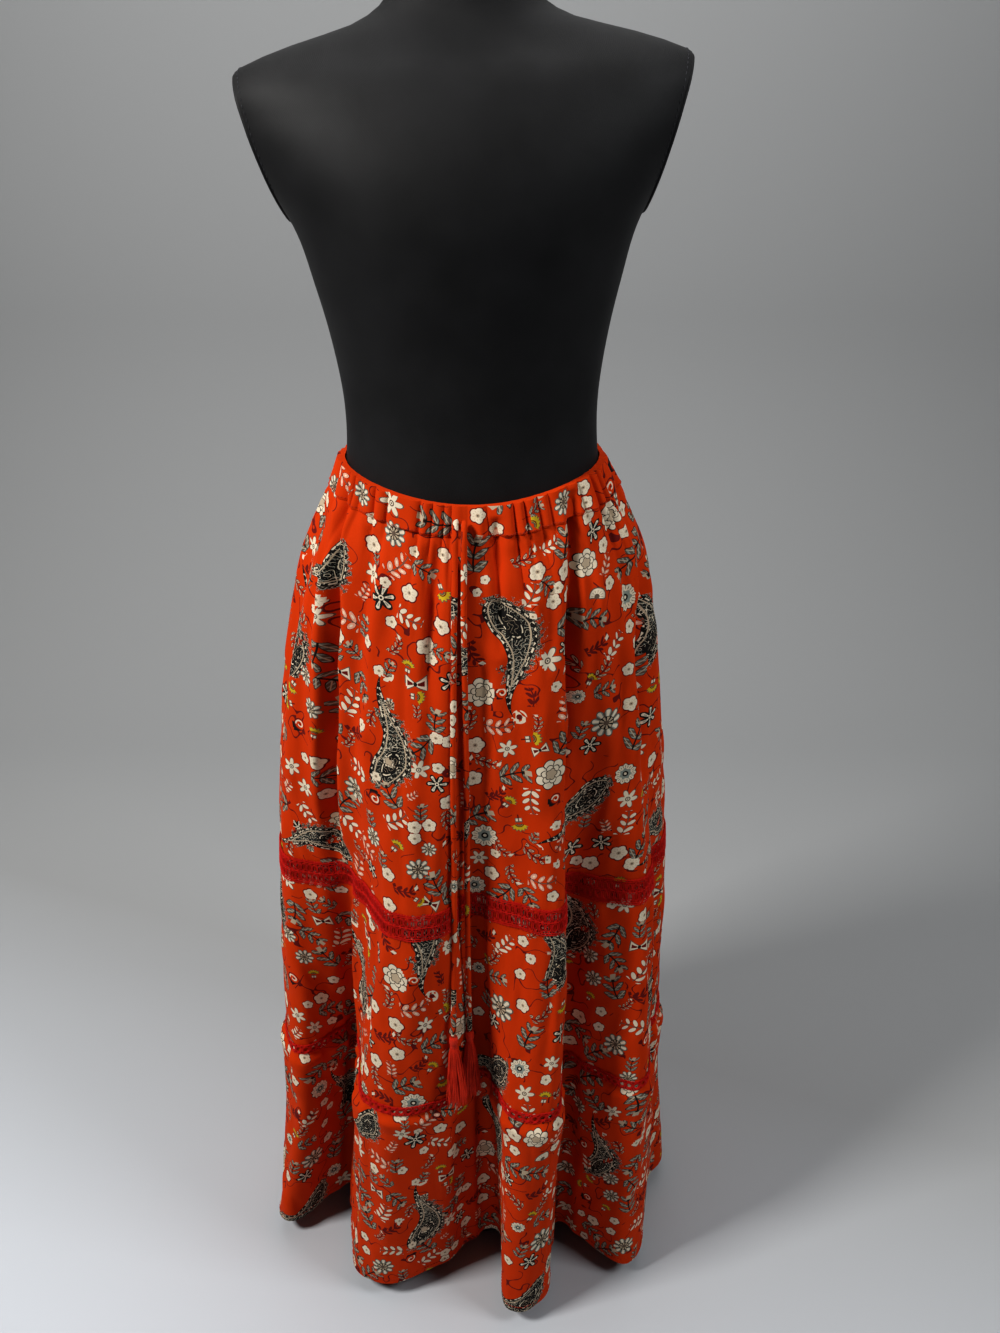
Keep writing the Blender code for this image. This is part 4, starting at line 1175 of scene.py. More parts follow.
    def build(self) -> bpy.types.Material:
        """Makes the material."""
        shader = Shader(self.name, self.roughness, sheen=self.sheen, gloss=0.05)
        x, y, kind = shader.attribute("motif")
        flat = shader.place(uv=True)
        r = (x * x + y * y).maths("SQRT")
        a = y.maths("ARCTAN2", x)
        motif = kind.maths("FLOOR")
        tone = kind - motif
        grain = shader.noise(flat, 900.0, 1.0)
        curls = shader.noise(flat, 250.0, 0.0)
        patch = shader.noise(flat, 14.0, 3.0)
        worn = tuple(0.86 * c for c in self.inks.ground)
        ground = shader.mixed(patch.scaled(1.6, -0.3), worn, self.inks.ground)
        stems = abs(shader.noise(flat, 34.0, 1.0) - 0.5) < 0.0085
        sparse = shader.noise(flat, 26.0, 0.0) > 0.50
        colour = shader.mixed(stems * sparse, ground, self.inks.maroon)
        for chosen in Motif:
            on = motif.band(float(chosen), 0.3)
            away = on.scaled(-20.0, 20.0)
            for mask, ink in self.motif_inks(chosen, x + away, y, r + away, a, tone, grain, curls):
                colour = shader.mixed(mask * on, colour, ink)
        if self.fade:
            constant = tone.scaled(0.0, self.fade)
            colour = shader.mixed(constant, colour, self.inks.ground)
        shader.colour(colour)
        weave = self.weave(shader, flat)
        shader.bump(weave, 0.00022, 0.45)
        return shader.material

    def weave(self, shader: Shader, flat: bpy.types.NodeSocket) -> Ink:
        """Height of the plain weave with its crinkle."""
        apart = shader.node("SeparateXYZ")
        shader.link(flat, apart.inputs[0])
        across, down = Ink(shader.tree, apart.outputs[0]), Ink(shader.tree, apart.outputs[1])
        warp = across.scaled(2 * math.pi / 0.0006).sin()
        weft = down.scaled(2 * math.pi / 0.0007).sin()
        crinkle = shader.noise(shader.place(uv=True, scale=(1.0, 0.22, 1.0)), 420.0, 2.0)
        return (warp * weft).scaled(0.16, 0.2) + crinkle.scaled(0.8)


@dataclass(frozen=True)
class Thread:
    """Spun thread of the lace, the stitches or the tassels."""

    name: str
    light: Colour
    dark: Colour
    roughness: float = 0.85
    sheen: float = 0.03
    fibre_scale: float = 2600.0

    def build(self) -> bpy.types.Material:
        """Makes the material."""
        shader = Shader(self.name, self.roughness, sheen=self.sheen, gloss=0.12)
        place = shader.place()
        fibre = shader.noise(place, self.fibre_scale, 2.0)
        patch = shader.noise(place, 90.0, 2.0)
        shader.colour(shader.mixed((fibre * 0.6 + patch * 0.6).scaled(1.6, -0.5), self.dark, self.light))
        shader.bump(fibre, 0.0002, 0.5)
        return shader.material


@dataclass(frozen=True)
class Jersey:
    """Black stretch jersey over the form, with faint ribs of the knit and a little lint."""

    name: str = "form_jersey"
    dark: Colour = (0.0090, 0.0090, 0.0093)
    light: Colour = (0.0150, 0.0150, 0.0157)
    lint: Colour = (0.200, 0.205, 0.215)
    rib: float = 0.0011

    def build(self) -> bpy.types.Material:
        """Makes the material."""
        shader = Shader(self.name, 0.58, sheen=0.01, gloss=0.16)
        shader.principled.inputs["Sheen Roughness"].default_value = 0.35
        place = shader.place()
        apart = shader.node("SeparateXYZ")
        shader.link(place, apart.inputs[0])
        x, y, z = (Ink(shader.tree, socket) for socket in apart.outputs)
        round_it = y.maths("ARCTAN2", x)
        ribs = round_it.scaled(0.12 * 2 * math.pi / self.rib).sin()
        courses = z.scaled(2 * math.pi / (self.rib * 0.8)).sin()
        knit = (ribs * courses).scaled(0.35, 0.5)
        cloud = shader.noise(place, 22.0, 3.0)
        colour = shader.mixed(cloud.scaled(1.8, -0.4), self.dark, self.light)
        specks = shader.node("TexVoronoi", feature="F1")
        specks.inputs["Scale"].default_value = 26.0
        shader.link(place, specks.inputs["Vector"])
        speck = Ink(shader.tree, specks.outputs["Distance"]) < 0.022
        rare = shader.noise(place, 9.0, 1.0) > 0.60
        shader.colour(shader.mixed(speck * rare, colour, self.lint))
        shader.bump(knit + cloud.scaled(0.4), 0.00025, 0.5)
        return shader.material


@dataclass(frozen=True)
class Painted:
    """Black painted steel of the stand, worn a little lighter on its high spots."""

    name: str = "stand_black"
    dark: Colour = (0.012, 0.012, 0.013)
    light: Colour = (0.034, 0.034, 0.036)

    def build(self) -> bpy.types.Material:
        """Makes the material."""
        shader = Shader(self.name, 0.36, metallic=0.35)
        place = shader.place()
        cloud = shader.noise(place, 46.0, 4.0)
        shader.colour(shader.mixed(cloud.scaled(1.5, -0.4), self.dark, self.light))
        shader.bump(shader.noise(place, 700.0, 2.0), 0.0002, 0.25)
        return shader.material


@dataclass(frozen=True)
class PaleFloor:
    """The plain pale floor, with painted shade that greys it toward the wall behind and toward the right."""

    name: str = "pale_floor"
    colour: Colour = (0.570, 0.600, 0.640)
    # Grey of the wall behind, which the floor's painted shade blends into.
    wall: Colour = (0.350, 0.355, 0.358)

    def build(self) -> bpy.types.Material:
        """Makes the material."""
        shader = Shader(self.name, 0.8, gloss=0.1)
        apart = shader.node("SeparateXYZ")
        shader.link(shader.place(), apart.inputs[0])
        along = Ink(shader.tree, apart.outputs[1])
        across = Ink(shader.tree, apart.outputs[0])
        # Painted shade: the floor's colour greys into the wall's grey toward the back and toward the right.
        back = (along.scaled(1.40, 0.58) + across.scaled(0.55)).over(0.0).under(1.0)
        cloud = shader.noise(shader.place(), 1.2, 2.0)
        floor = shader.mixed(cloud, tuple(0.96 * c for c in self.colour), self.colour)
        shader.colour(shader.mixed(back, floor, self.wall))
        return shader.material


class Finishes:
    """The materials of the skirt, its trims, the form and the stand."""

    def __init__(self) -> None:
        """Builds each finish once."""
        self.cloth = PrintedCloth("printed_cloth").build()
        self.reverse = PrintedCloth("printed_cloth_reverse", fade=0.45).build()
        self.lace = Thread("lace_thread", (0.620, 0.014, 0.008), (0.330, 0.006, 0.004)).build()
        self.stitch = Thread("sewing_thread", (0.560, 0.060, 0.020), (0.300, 0.020, 0.010)).build()
        self.tassel = Thread(
            "tassel_thread", (0.800, 0.052, 0.014), (0.380, 0.012, 0.006), 0.55, 0.05, 1500.0
        ).build()
        self.jersey = Jersey().build()
        self.form_stitch = Thread("form_stitching", (0.070, 0.072, 0.080), (0.020, 0.020, 0.022)).build()
        self.stand = Painted().build()
        self.floor = PaleFloor().build()


def linked(name: str, mesh: bpy.types.Mesh, *materials: bpy.types.Material) -> bpy.types.Object:
    """Puts a mesh into the scene as a piece at the origin."""
    obj = bpy.data.objects.new(name, mesh)
    for material in materials:
        mesh.materials.append(material)
    bpy.context.scene.collection.objects.link(obj)
    return obj


def dressed(obj: bpy.types.Object, slot: str, *nodes: str) -> bpy.types.Object:
    """Makes a piece ride on the form and hides the CAD nodes that it stands for."""
    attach(obj, BODY)
    if nodes:
        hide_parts(*nodes)
    triangles = sum(len(polygon.vertices) - 2 for polygon in obj.data.polygons)
    log.info("%s: %d triangles", obj.name, triangles)
    return obj


def mesh_from(name: str, points: np.ndarray, faces: Sequence, sharp: float = 60.0) -> bpy.types.Mesh:
    """Makes a smooth mesh from points and faces."""
    mesh = bpy.data.meshes.new(name)
    mesh.from_pydata(np.asarray(points).tolist(), [], [tuple(face) for face in faces])
    mesh.update()
    mesh.shade_smooth()
    mesh.set_sharp_from_angle(angle=math.radians(sharp))
    return mesh


@dataclass
class WallGrid:
    """A closed wall of cloth from a fine outer grid and an inner grid of half as many rows and columns."""

    name: str
    outer: np.ndarray
    inner: np.ndarray
    flat: np.ndarray
    ring: bool = False

    def build(self, materials: Sequence[bpy.types.Material]) -> bpy.types.Object:
        """Makes the piece with its flat map and the motifs' places.

        Args:
            materials: The face's material and the reverse's.

        Returns:
            The piece.
        """
        rows, columns = self.outer.shape[:2]
        wide = columns - 1 if self.ring else columns
        inner_rows, inner_columns = self.inner.shape[:2]
        inner_wide = inner_columns - 1 if self.ring else inner_columns
        out_index = np.arange(rows)[:, None] * wide + np.arange(columns)[None, :] % wide
        start = rows * wide
        in_index = start + np.arange(inner_rows)[:, None] * inner_wide + np.arange(inner_columns)[None, :] % inner_wide
        points = np.concatenate((self.outer[:, :wide].reshape(-1, 3), self.inner[:, :inner_wide].reshape(-1, 3)))
        face_quads = self.quads(out_index)
        back_quads = self.quads(in_index)[:, ::-1]
        rims = [self.rim(out_index[0], in_index[0], True), self.rim(out_index[-1], in_index[-1], False)]
        if not self.ring:
            rims += [self.rim(out_index[:, 0], in_index[:, 0], False), self.rim(out_index[:, -1], in_index[:, -1], True)]
        rim_faces = np.concatenate(rims)
        mesh = mesh_from(self.name, points, [*face_quads.tolist(), *back_quads.tolist(), *rim_faces.tolist()])
        flat_quads = self.quad_values(self.flat)
        back_flat = self.quad_values(self.flat[::2, ::2])[:, ::-1]
        placed = REPEAT.on_corners(flat_quads.mean(axis=1), flat_quads)
        back_placed = REPEAT.on_corners(back_flat.mean(axis=1), back_flat)
        rest = len(rim_faces) * 3
        uv = np.concatenate((flat_quads.reshape(-1, 2), back_flat.reshape(-1, 2), np.zeros((rest, 2))))
        motif = np.concatenate((placed.reshape(-1, 3), back_placed.reshape(-1, 3), np.tile((9.0, 9.0, -3.0), (rest, 1))))
        mesh.uv_layers.new(name="cloth").data.foreach_set("uv", uv.ravel())
        places = mesh.attributes.new("motif", "FLOAT_VECTOR", "CORNER")
        places.data.foreach_set("vector", motif.ravel())
        slots = np.zeros(len(mesh.polygons), int)
        slots[len(face_quads): len(face_quads) + len(back_quads)] = 1
        obj = linked(self.name, mesh, *materials)
        mesh.polygons.foreach_set("material_index", slots)
        return obj

    @staticmethod
    def quads(index: np.ndarray) -> np.ndarray:
        """Faces between rows and columns of indices, seen from outside."""
        corners = (index[:-1, :-1], index[1:, :-1], index[1:, 1:], index[:-1, 1:])
        return np.stack(corners, axis=-1).reshape(-1, 4)

    @staticmethod
    def quad_values(values: np.ndarray) -> np.ndarray:
        """The values at the corners of each face, in the same order."""
        corners = (values[:-1, :-1], values[1:, :-1], values[1:, 1:], values[:-1, 1:])
        return np.stack(corners, axis=2).reshape(-1, 4, values.shape[-1])

    @staticmethod
    def rim(fine: np.ndarray, coarse: np.ndarray, turned: bool) -> np.ndarray:
        """Triangles between a row of the outer grid and the row of the inner grid behind it."""
        faces = []
        for k in range(len(coarse) - 1):
            a, b, c = fine[2 * k: 2 * k + 3]
            faces += [(a, b, coarse[k]), (b, coarse[k + 1], coarse[k]), (b, c, coarse[k + 1])]
        faces = np.array(faces)
        return faces[:, ::-1] if turned else faces


@dataclass
class TierPanel:
    """One cut panel of a tier, gathered or hung between two seams."""

    name: str
    start: float
    top: float
    foot: float
    columns: int
    rows: int
    shift: tuple[float, float]
    cut: tuple[float, float]
    held: str
    thickness: float = 0.0011
    seam_turn: float = 0.0002
    crinkle: float = 0.00060
    pucker: float = 0.00065

    def turns(self) -> np.ndarray:
        """Turns of the columns."""
        turns = self.start + np.linspace(0, 0.5, self.columns + 1)
        turns[0] += self.seam_turn
        turns[-1] -= self.seam_turn
        return turns

    def crinkled(self, grid: np.ndarray, flat: np.ndarray) -> np.ndarray:
        """Small uneven waves of worn, washed cloth, less at the panel's edges, and puckers along its seams."""
        draw = np.random.default_rng(int(self.top * 1000) + int(self.start * 10))
        across, down = flat[..., 0], flat[..., 1]
        warp = 0.010 * np.sin(across * 31.0 + 1.3) * np.sin(down * 23.0 + 0.4)
        height = np.zeros(across.shape)
        for _ in range(16):
            length = draw.uniform(0.012, 0.055)
            lean = draw.normal(0.0, 0.55)
            phase = draw.uniform(0, 2 * math.pi)
            wave = (across + warp) * math.cos(lean) + (down * 0.55 - warp) * math.sin(lean)
            height += np.sin(wave * 2 * math.pi / length + phase) * length
        height *= self.crinkle / height.std()
        rows, columns = across.shape
        near = np.minimum(down - down[:1], down[-1:] - down)
        pucker = np.sin(across * 2 * math.pi / 0.0105 + 2.5 * np.sin(across * 37.0)) * np.exp(-near / 0.011)
        height = height * np.minimum(near / 0.02, 1.0) + self.pucker * pucker * np.minimum(near / 0.002, 1.0)
        edge = np.minimum(1.0, np.minimum(np.arange(columns), np.arange(columns)[::-1]) / 5.0)
        edge = edge * CLOTH.beside_ties(self.turns())
        normal = np.cross(np.gradient(grid, axis=1), np.gradient(grid, axis=0))
        normal /= np.linalg.norm(normal, axis=-1)[..., None]
        return grid - normal * (height * edge)[..., None]

    def build(self, finishes: Finishes) -> bpy.types.Object:
        """Makes the panel."""
        turns = self.turns()
        drops = np.linspace(self.top, self.foot, self.rows + 1)
        outer = np.array([CLOTH.row(drop, turns, 0.0) for drop in drops])
        arcs = np.array([CLOTH.arcs(drop, self.start + 0.25, turns) for drop in drops])
        flat = np.stack((arcs + self.shift[0], np.broadcast_to(drops[:, None], arcs.shape) + self.shift[1]), axis=-1)
        outer = self.crinkled(outer, flat)
        inner_base = np.array([CLOTH.row(drop, turns[::2], -self.thickness) for drop in drops[::2]])
        skin = np.array([CLOTH.row(drop, turns[::2], 0.0) for drop in drops[::2]])
        inner = inner_base + (outer[::2, ::2] - skin)
        obj = WallGrid(self.name, outer, inner, flat).build((finishes.cloth, finishes.reverse))
        dressed(obj, "printed_cloth", self.name.replace("_cloth", ""))
        return obj


@dataclass
class Waistband:
    """The folded casing over elastic, gathered all round."""

    columns: int = 960
    rows: int = 14
    wall: float = 0.0028
    cut: tuple[float, float] = (0.95, 0.031)

    def build(self, finishes: Finishes) -> None:
        """Makes the casing."""
        turns = np.linspace(0, 1, self.columns + 1)
        drops = np.linspace(0.0, CASING_DROP, self.rows + 1)
        outer = []
        for drop in drops:
            row = CLOTH.row(drop, turns, 0.0)
            if drop == 0.0:
                row[:, 2] -= 0.0006
            outer.append(row)
        outer = np.array(outer)
        inner = np.array([CLOTH.row(drop, turns[::2], -self.wall, relief=0.12) for drop in drops[::2]])
        arcs = np.array([CLOTH.arcs(drop, 0.25, turns) for drop in drops])
        flat = np.stack((arcs, np.broadcast_to(drops[:, None], arcs.shape)), axis=-1)
        obj = WallGrid("waistband_cloth", outer, inner, flat, ring=True).build((finishes.cloth, finishes.reverse))
        dressed(obj, "printed_cloth", "waistband")


class RepeatTree:
    """Geometry Nodes that lay copies of a small mesh on points that carry their own directions and size."""

    INPUTS = (("Unit", "NodeSocketObject"), ("Finish", "NodeSocketMaterial"), ("Size", "NodeSocketFloat"))

    def __init__(self, name: str) -> None:
        """Builds the tree."""
        self.tree = bpy.data.node_groups.new(name, "GeometryNodeTree")
        face = self.tree.interface
        face.new_socket("Geometry", in_out="INPUT", socket_type="NodeSocketGeometry")
        self.keys = {}
        for label, kind in self.INPUTS:
            self.keys[label] = face.new_socket(label, in_out="INPUT", socket_type=kind).identifier
        face.new_socket("Geometry", in_out="OUTPUT", socket_type="NodeSocketGeometry")
        inward = self.add("NodeGroupInput")
        unit = self.add("GeometryNodeObjectInfo")
        self.join(inward, "Unit", unit, "Object")
        points = self.add("GeometryNodeMeshToPoints")
        self.join(inward, "Geometry", points, "Mesh")
        upright = self.turned("up", "Z", None)
        along = self.turned("along", "X", upright)
        size = self.read("size", "FLOAT")
        scaled = self.add("ShaderNodeMath")
        scaled.operation = "MULTIPLY"
        self.tree.links.new(size, scaled.inputs[0])
        self.tree.links.new(inward.outputs["Size"], scaled.inputs[1])
        copies = self.add("GeometryNodeInstanceOnPoints")
        self.join(points, "Points", copies, "Points")
        self.join(unit, "Geometry", copies, "Instance")
        self.tree.links.new(along.outputs["Rotation"], copies.inputs["Rotation"])
        self.tree.links.new(scaled.outputs[0], copies.inputs["Scale"])
        real = self.add("GeometryNodeRealizeInstances")
        self.join(copies, "Instances", real, "Geometry")
        finish = self.add("GeometryNodeSetMaterial")
        self.join(real, "Geometry", finish, "Geometry")
        self.join(inward, "Finish", finish, "Material")
        self.join(finish, "Geometry", self.add("NodeGroupOutput"), "Geometry")

    def add(self, kind: str) -> bpy.types.Node:
        """Adds a node."""
        return self.tree.nodes.new(kind)

    def join(self, source: bpy.types.Node, output: str, target: bpy.types.Node, value: str) -> None:
        """Links two nodes by their sockets' names."""
        self.tree.links.new(source.outputs[output], target.inputs[value])

    def read(self, name: str, kind: str) -> bpy.types.NodeSocket:
        """Reads a point attribute."""
        node = self.add("GeometryNodeInputNamedAttribute")
        node.data_type = kind
        node.inputs["Name"].default_value = name
        return node.outputs["Attribute"]

    def turned(self, name: str, axis: str, before: bpy.types.Node | None) -> bpy.types.Node:
        """Turns an axis to a point attribute, round the axis that was turned before it."""
        node = self.add("FunctionNodeAlignRotationToVector")
        node.axis = axis
        node.pivot_axis = "Z" if before else "AUTO"
        if before:
            self.tree.links.new(before.outputs["Rotation"], node.inputs["Rotation"])
        self.tree.links.new(self.read(name, "FLOAT_VECTOR"), node.inputs["Vector"])
        return node

    def lay(
        self,
        name: str,
        unit: bpy.types.Mesh,
        finish: bpy.types.Material,
        points: np.ndarray,
        ups: np.ndarray,
        alongs: np.ndarray,
        sizes: np.ndarray,
    ) -> bpy.types.Mesh:
        """Lays copies of a unit and returns them as one mesh.

        Args:
            name: Name of the mesh.
            unit: The small mesh, its length along X and its top along Z.
            finish: Its material.
            points: Places of the copies.
            ups: Directions of their tops.
            alongs: Directions of their lengths.
            sizes: Their sizes.

        Returns:
            The mesh of all copies.
        """
        base = bpy.data.meshes.new(name + "_points")
        base.from_pydata(np.asarray(points).tolist(), [], [])
        for label, kind, slot, values in (
            ("up", "FLOAT_VECTOR", "vector", ups),
            ("along", "FLOAT_VECTOR", "vector", alongs),
            ("size", "FLOAT", "value", sizes),
        ):
            base.attributes.new(label, kind, "POINT").data.foreach_set(slot, np.asarray(values, float).ravel())
        carrier = bpy.data.objects.new(name + "_points", base)
        source = bpy.data.objects.new(name + "_unit", unit)
        bpy.context.scene.collection.objects.link(carrier)
        bpy.context.scene.collection.objects.link(source)
        modifier = carrier.modifiers.new("repeats", "NODES")
        modifier.node_group = self.tree
        modifier[self.keys["Unit"]] = source
        modifier[self.keys["Finish"]] = finish
        modifier[self.keys["Size"]] = 1.0
        graph = bpy.context.evaluated_depsgraph_get()
        mesh = bpy.data.meshes.new_from_object(carrier.evaluated_get(graph), depsgraph=graph)
        mesh.name = name
        carrier.modifiers.remove(modifier)
        for helper in (carrier, source):
            bpy.data.objects.remove(helper)
        for label in ("up", "along", "size"):
            if label in mesh.attributes:
                mesh.attributes.remove(mesh.attributes[label])
        return mesh


def tube(points: np.ndarray, radii: np.ndarray | float, sides: int, closed: bool = False) -> tuple[np.ndarray, list]:
    """A tube along points.

    Args:
        points: Its centre line.
        radii: One radius, or one for each point.
        sides: How many sides it has.
        closed: Whether its end joins its start.

    Returns:
        The points and faces.
    """
    points = np.asarray(points, float)
    count = len(points)
    radii = np.broadcast_to(radii, (count,))
    if closed:
        ways = np.roll(points, -1, axis=0) - np.roll(points, 1, axis=0)
    else:
        ways = np.gradient(points, axis=0)
    ways /= np.linalg.norm(ways, axis=1)[:, None]
    side = np.cross(ways[0], (0.31, 0.17, 0.94))
    if np.linalg.norm(side) < 0.2:
        side = np.cross(ways[0], (1.0, 0.0, 0.0))
    rings = []
    for point, way, radius in zip(points, ways, radii):
        side = side - way * np.dot(side, way)
        side /= np.linalg.norm(side)
        other = np.cross(way, side)
        turns = 2 * math.pi * np.arange(sides) / sides
        rings.append(point + radius * (np.outer(np.cos(turns), side) + np.outer(np.sin(turns), other)))
    faces = []
    for k in range(count if closed else count - 1):
        after = (k + 1) % count
        for j in range(sides):
            next_j = (j + 1) % sides
            faces.append((k * sides + j, k * sides + next_j, after * sides + next_j, after * sides + j))
    if not closed:
        faces.append(tuple(range(sides))[::-1])
        faces.append(tuple((count - 1) * sides + j for j in range(sides)))
    return np.concatenate(rings), faces


def joined(parts: Sequence[tuple[np.ndarray, list]]) -> tuple[np.ndarray, list]:
    """Joins points and faces of several closed shapes."""
    points, faces, start = [], [], 0
    for part_points, part_faces in parts:
        points.append(part_points)
        faces += [tuple(start + index for index in face) for face in part_faces]
        start += len(part_points)
    return np.concatenate(points), faces


def stitch_unit(length: float, radius: float, sides: int = 5) -> bpy.types.Mesh:
    """One stitch: a short thread whose ends dive into the cloth."""
    x = np.array((-0.5, -0.34, 0.0, 0.34, 0.5)) * length
    z = np.array((-0.7, 0.35, 0.75, 0.35, -0.7)) * radius
    line = np.column_stack((x, np.zeros(5), z))
    points, faces = tube(line, np.array((0.5, 1.0, 1.05, 1.0, 0.5)) * radius, sides)
    return mesh_from("stitch_unit", points, faces)


@dataclass
class DressForm:
    """The limbless dress form, covered in black jersey, cut flat at the shoulders."""

    columns: int = 108
    level_step: float = 0.0075
    squareness: float = 2.15
    lean: float = -0.012
    tilt: float = 0.038
    tilt_rise: float = 0.30
    plate_top: tuple[float, float] = (0.1785, 0.300)
    plate_foot: tuple[float, float] = (0.1478, 0.195)
    shoulder_foot: float = 0.145
    plate_thickness: float = 0.0024
    plate_inset: float = 0.0010
    cap_thickness: float = 0.0040
    cap_inset: float = 0.0008
    gap: float = 0.0003
    edge_draw: float = 3.2
    seam_in: float = 0.0042
    seam_pitch: float = 0.0052

    def leaned(self, points: np.ndarray) -> np.ndarray:
        """Points of the form as it leans on its pole."""
        points = np.array(points, float)
        above = np.maximum(points[..., 2] - WAIST_HEIGHT, 0.0)
        tilt = self.tilt * np.minimum(above / self.tilt_rise, 1.0)
        points[..., 2] += points[..., 0] * tilt
        points[..., 0] += self.lean * above
        return points

    def rings(self) -> np.ndarray:
        """Rings of the torso from its foot to its neck."""
        sections = np.array(FORM_SECTIONS)
        heights = [sections[0, 0]]
        for low, high in zip(sections[:-1, 0], sections[1:, 0]):
            steps = max(int(math.ceil((high - low) / self.level_step)), 2)
            heights += list(np.linspace(low, high, steps + 1)[1:])
        phase = 2 * math.pi * np.arange(self.columns) / self.columns
        rings = []
        for height in heights:
            half_width, front, back = smooth_through(height, sections[:, 0], sections[:, 1:])
            depth = np.where(np.cos(phase) > 0, front, back)
            angle = np.arctan2(half_width * np.sin(phase), depth * np.cos(phase))
            radius = oval_radius(angle, half_width, front, back, self.squareness)
            level = np.full(self.columns, WAIST_HEIGHT + height)
            rings.append(self.leaned(np.column_stack((radius * np.sin(angle), -radius * np.cos(angle), level))))
        return np.array(rings)

    def cut_shoulder(self, bm: bmesh.types.BMesh, side: int) -> tuple[list[Vector], Vector]:
        """Cuts a shoulder off flat, fills the cut and returns its outline and the way it faces."""
        places = [(side * x, 0.0, WAIST_HEIGHT + height) for x, height in (self.plate_top, self.plate_foot)]
        top, foot = (Vector(place) for place in self.leaned(places))
        facing = Vector((0.0, side, 0.0)).cross(top - foot).normalized()
        floor = WAIST_HEIGHT + self.shoulder_foot
        faces = [face for face in bm.faces if min(vert.co.z for vert in face.verts) > floor]
        geometry = list(dict.fromkeys(item for face in faces for item in (*face.verts, *face.edges))) + faces
        cut = bmesh.ops.bisect_plane(bm, geom=geometry, plane_co=foot, plane_no=facing, clear_outer=True)
        edges = [item for item in cut["geom_cut"] if isinstance(item, bmesh.types.BMEdge)]
        face = bmesh.ops.contextual_create(bm, geom=edges)["faces"][0]
        return [vert.co.copy() for vert in face.verts], facing

    def plate(
        self, name: str, outline: list[Vector], facing: Vector, thickness: float, inset: float
    ) -> bpy.types.Mesh:
        """A flat covered plate just off an outline, its edge rounded in.

        Args:
            name: Its name.
            outline: The outline that it covers.
            facing: The way it faces.
            thickness: Its thickness.
            inset: How far its edge lies inside the outline.

        Returns:
            The mesh.
        """
        middle = sum(outline, Vector()) / len(outline)
        steps = [(self.gap, inset), (self.gap + thickness * 0.4, inset)]
        for k in range(1, 6):
            turn = math.pi / 2 * k / 5
            out = self.gap + thickness * (0.4 + 0.6 * math.sin(turn))
            steps.append((out, inset + inset * (self.edge_draw - 1) * (1 - math.cos(turn))))
        steps.append((self.gap + thickness, inset * 6))
        bm = bmesh.new()
        rows = []
        for out, draw in steps:
            row = [point + facing * out + (middle - point).normalized() * draw for point in outline]
            rows.append([bm.verts.new(point) for point in row])
        for near, far in zip(rows, rows[1:]):
            for k in range(len(near)):
                after = (k + 1) % len(near)
                bm.faces.new((near[k], near[after], far[after], far[k]))
        bm.faces.new(rows[0][::-1])
        bm.faces.new(rows[-1])
        bmesh.ops.recalc_face_normals(bm, faces=bm.faces)
        bmesh.ops.triangulate(bm, faces=[face for face in bm.faces if len(face.verts) > 4])
        mesh = bpy.data.meshes.new(name)
        bm.to_mesh(mesh)
        bm.free()
        mesh.shade_smooth()
        mesh.set_sharp_from_angle(angle=math.radians(50))
        return mesh

    def seam(
        self, outline: list[Vector], facing: Vector, torso: bpy.types.Object
    ) -> tuple[list[tuple], list[tuple], list[tuple]]:
        """Places of the stitches round a shoulder cut, on the torso's side."""
        line = np.array([tuple(point) for point in outline])
        line = np.concatenate((line, line[:1]))
        along = np.concatenate(([0.0], np.linalg.norm(np.diff(line, axis=0), axis=1).cumsum()))
        count = int(along[-1] / self.seam_pitch)
        marks = np.linspace(0, along[-1], count, endpoint=False)
        spots = np.column_stack([np.interp(marks, along, line[:, k]) for k in range(3)])
        spots -= np.array(facing) * self.seam_in
        points, ups, ways = [], [], []
        for k, spot in enumerate(spots):
            found, place, normal, _ = torso.closest_point_on_mesh(Vector(spot))
            if found and abs(normal.dot(facing)) < 0.9:
                points.append(tuple(place))
                ups.append(tuple(normal))
                ways.append(tuple(spots[(k + 1) % count] - spots[k - 1]))
        return points, ups, ways

    def build(self, finishes: Finishes, tree: RepeatTree) -> None:
        """Makes the torso, the shoulder plates, the neck cap and the seams' stitches."""
        rings = self.rings()
        bm = bmesh.new()
        rows = [[bm.verts.new(point) for point in ring] for ring in rings]
        for below, above in zip(rows, rows[1:]):
            for k in range(self.columns):
                after = (k + 1) % self.columns
                bm.faces.new((below[k], below[after], above[after], above[k]))
        bm.faces.new(rows[0][::-1])
        bm.faces.new(rows[-1])
        neck = [vert.co.copy() for vert in rows[-1]]
        cuts = [self.cut_shoulder(bm, side) for side in (-1, 1)]
        bmesh.ops.recalc_face_normals(bm, faces=bm.faces)
        bmesh.ops.triangulate(bm, faces=[face for face in bm.faces if len(face.verts) > 4])
        mesh = bpy.data.meshes.new("torso_jersey")
        bm.to_mesh(mesh)
        bm.free()
        mesh.shade_smooth()
        mesh.set_sharp_from_angle(angle=math.radians(40))
        torso = linked("torso_jersey", mesh, finishes.jersey)
        dressed(torso, "form_jersey", "form_torso")
        stitches = ([], [], [])
        for name, (outline, facing) in zip(("left", "right"), cuts):
            plate = self.plate(name + "_shoulder_plate", outline, facing, self.plate_thickness, self.plate_inset)
            dressed(linked(plate.name, plate, finishes.jersey), "form_jersey", f"form_{name}_plate")
            for kept, new in zip(stitches, self.seam(outline, facing, torso)):
                kept.extend(new)
        cap = self.plate("neck_cap", neck, Vector((0, 0, 1)), self.cap_thickness, self.cap_inset)
        dressed(linked("neck_cap", cap, finishes.jersey), "form_jersey", "form_neck_cap")
        unit = stitch_unit(0.0030, 0.00042)
        seam = tree.lay("shoulder_stitches", unit, finishes.form_stitch, *stitches, np.ones(len(stitches[0])))
        dressed(linked("shoulder_stitches", seam), "form_jersey")


